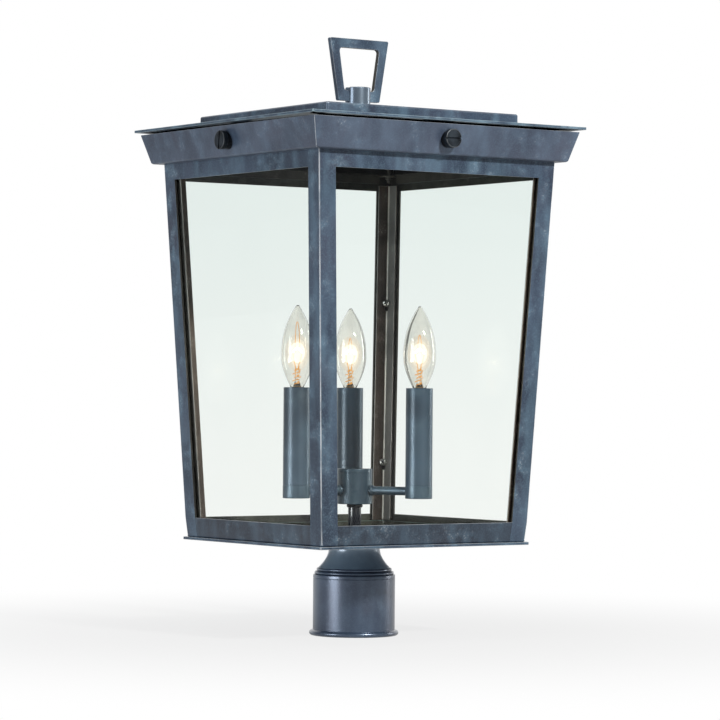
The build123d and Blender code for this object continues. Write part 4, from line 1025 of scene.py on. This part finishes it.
# ---------------------------------------------------------------- finial
# A turned barrel, slotted across its top, holds a flat-bar loop that is wider at its head.

barrel_patina = patina("barrel_patina", "4c5a6a", "65758a", "8da0ad", "5c5f6a", "c9cdd0", metallic=0.55,
                       roughness=(0.26, 0.36), mottle=0.7, lacquer=0.6, shine=0.22, pitted=0.03, wave=0.0)
eased("finial_turning", "finial_barrel", [barrel_patina], 0.0003)
loop_low, loop_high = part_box("finial_loop")
loop_middle = (loop_low + loop_high) / 2


def lines_opening(normal, centre):
    """True for a face that lines the opening of the loop."""
    return abs(normal.y) < 0.3 and normal.dot(loop_middle - centre) > 0.0005


eased("finial_bar_loop", "finial_loop", [slate_patina, inner_bronze], 0.0004, evenly(0.25), lines_opening)

# ---------------------------------------------------------------- studio
# A plain pale floor that keeps a faint shadow, a white surround, and five soft lamps: wide ones
# at the left, at the right and overhead, a low one for the fitter, and a small key from the front.


def sees_white(tree, glossy):
    """How far a ray meets plain white: seen directly or through glass, or mirrored by a share."""
    path = add_node(tree, "LightPath", {}).outputs
    straight = add_node(tree, "Math", {0: path["Is Camera Ray"], 1: path["Is Transmission Ray"]},
                        operation="MAXIMUM")
    mirrored = times(tree, path["Is Glossy Ray"], glossy)
    return add_node(tree, "Math", {0: straight.outputs[0], 1: mirrored}, operation="MAXIMUM").outputs[0]


floor_mesh = bmesh.new()
bmesh.ops.create_grid(floor_mesh, x_segments=1, y_segments=1, size=9)
floor_data = bpy.data.meshes.new("floor")
floor_mesh.to_mesh(floor_data)
floor_mesh.free()
floor = bpy.data.objects.new("floor", floor_data)
scene.collection.objects.link(floor)
finish, tree, place, output = empty_finish("pale_floor")
matt = add_node(tree, "BsdfDiffuse", {"Color": (0.36, 0.36, 0.36, 1)})
plain = add_node(tree, "Emission", {"Color": (1, 1, 1, 1), "Strength": 1.0})
far = add_node(tree, "VectorMath", {0: place}, operation="LENGTH")
lit = times(tree, sees_white(tree, 0.4), span(tree, far.outputs["Value"], 0.15, 0.8, 0.80, 1.0))
mixed = add_node(tree, "MixShader", {0: lit, 1: matt.outputs[0], 2: plain.outputs[0]})
tree.links.new(mixed.outputs[0], output.inputs[0])
floor_data.materials.append(finish)

world = bpy.data.worlds.new("surround")
scene.world = world
world.use_nodes = True
tree = world.node_tree
tree.nodes.clear()
# the white backdrop stands behind the lantern, and metal mirrors it from there
toward = add_node(tree, "TexCoord", {}).outputs["Generated"]
behind = add_node(tree, "VectorMath", {0: toward, 1: (0.57, 0.82, 0.0)}, operation="DOT_PRODUCT")
seen = sees_white(tree, span(tree, behind.outputs["Value"], 0.35, 0.8, 0, 0.8))
soft = add_node(tree, "Background", {"Color": (0.93, 0.96, 1.0, 1), "Strength": 0.24})
white = add_node(tree, "Background", {"Color": (1, 1, 1, 1), "Strength": 1.0})
mixed = add_node(tree, "MixShader", {0: seen, 1: soft.outputs[0], 2: white.outputs[0]})
output = tree.nodes.new("ShaderNodeOutputWorld")
tree.links.new(mixed.outputs[0], output.inputs[0])


def soft_lamp(name, place, target, width, height, power, colour=(1, 1, 1)):
    """A rectangular soft lamp that looks at a point."""
    data = bpy.data.lights.new(name, "AREA")
    data.shape = "RECTANGLE"
    data.size = width
    data.size_y = height
    data.energy = power
    data.color = colour
    lamp = bpy.data.objects.new(name, data)
    scene.collection.objects.link(lamp)
    lamp.location = place
    lamp.rotation_euler = (Vector(target) - Vector(place)).to_track_quat("-Z", "Y").to_euler()


soft_lamp("lamp_left", (-2.3, 0.07, 0.56), (0, 0, 0.56), 0.9, 1.1, 18, (0.90, 0.95, 1.0))
soft_lamp("lamp_low", (-1.0, 0.03, 0.09), (0, 0, 0.09), 0.5, 0.14, 1.8)
soft_lamp("lamp_right", (2.4, -0.5, 0.6), (0, 0, 0.6), 0.45, 1.18, 9)
soft_lamp("lamp_front", (0.15, -2.45, 1.62), (0, 0, 0.4), 0.24, 0.24, 74, (1.0, 0.98, 0.95))
soft_lamp("lamp_top", (-0.3, -0.3, 2.4), (0, 0, 0.3), 1.4, 1.4, 18)

scene.view_settings.view_transform = "Standard"
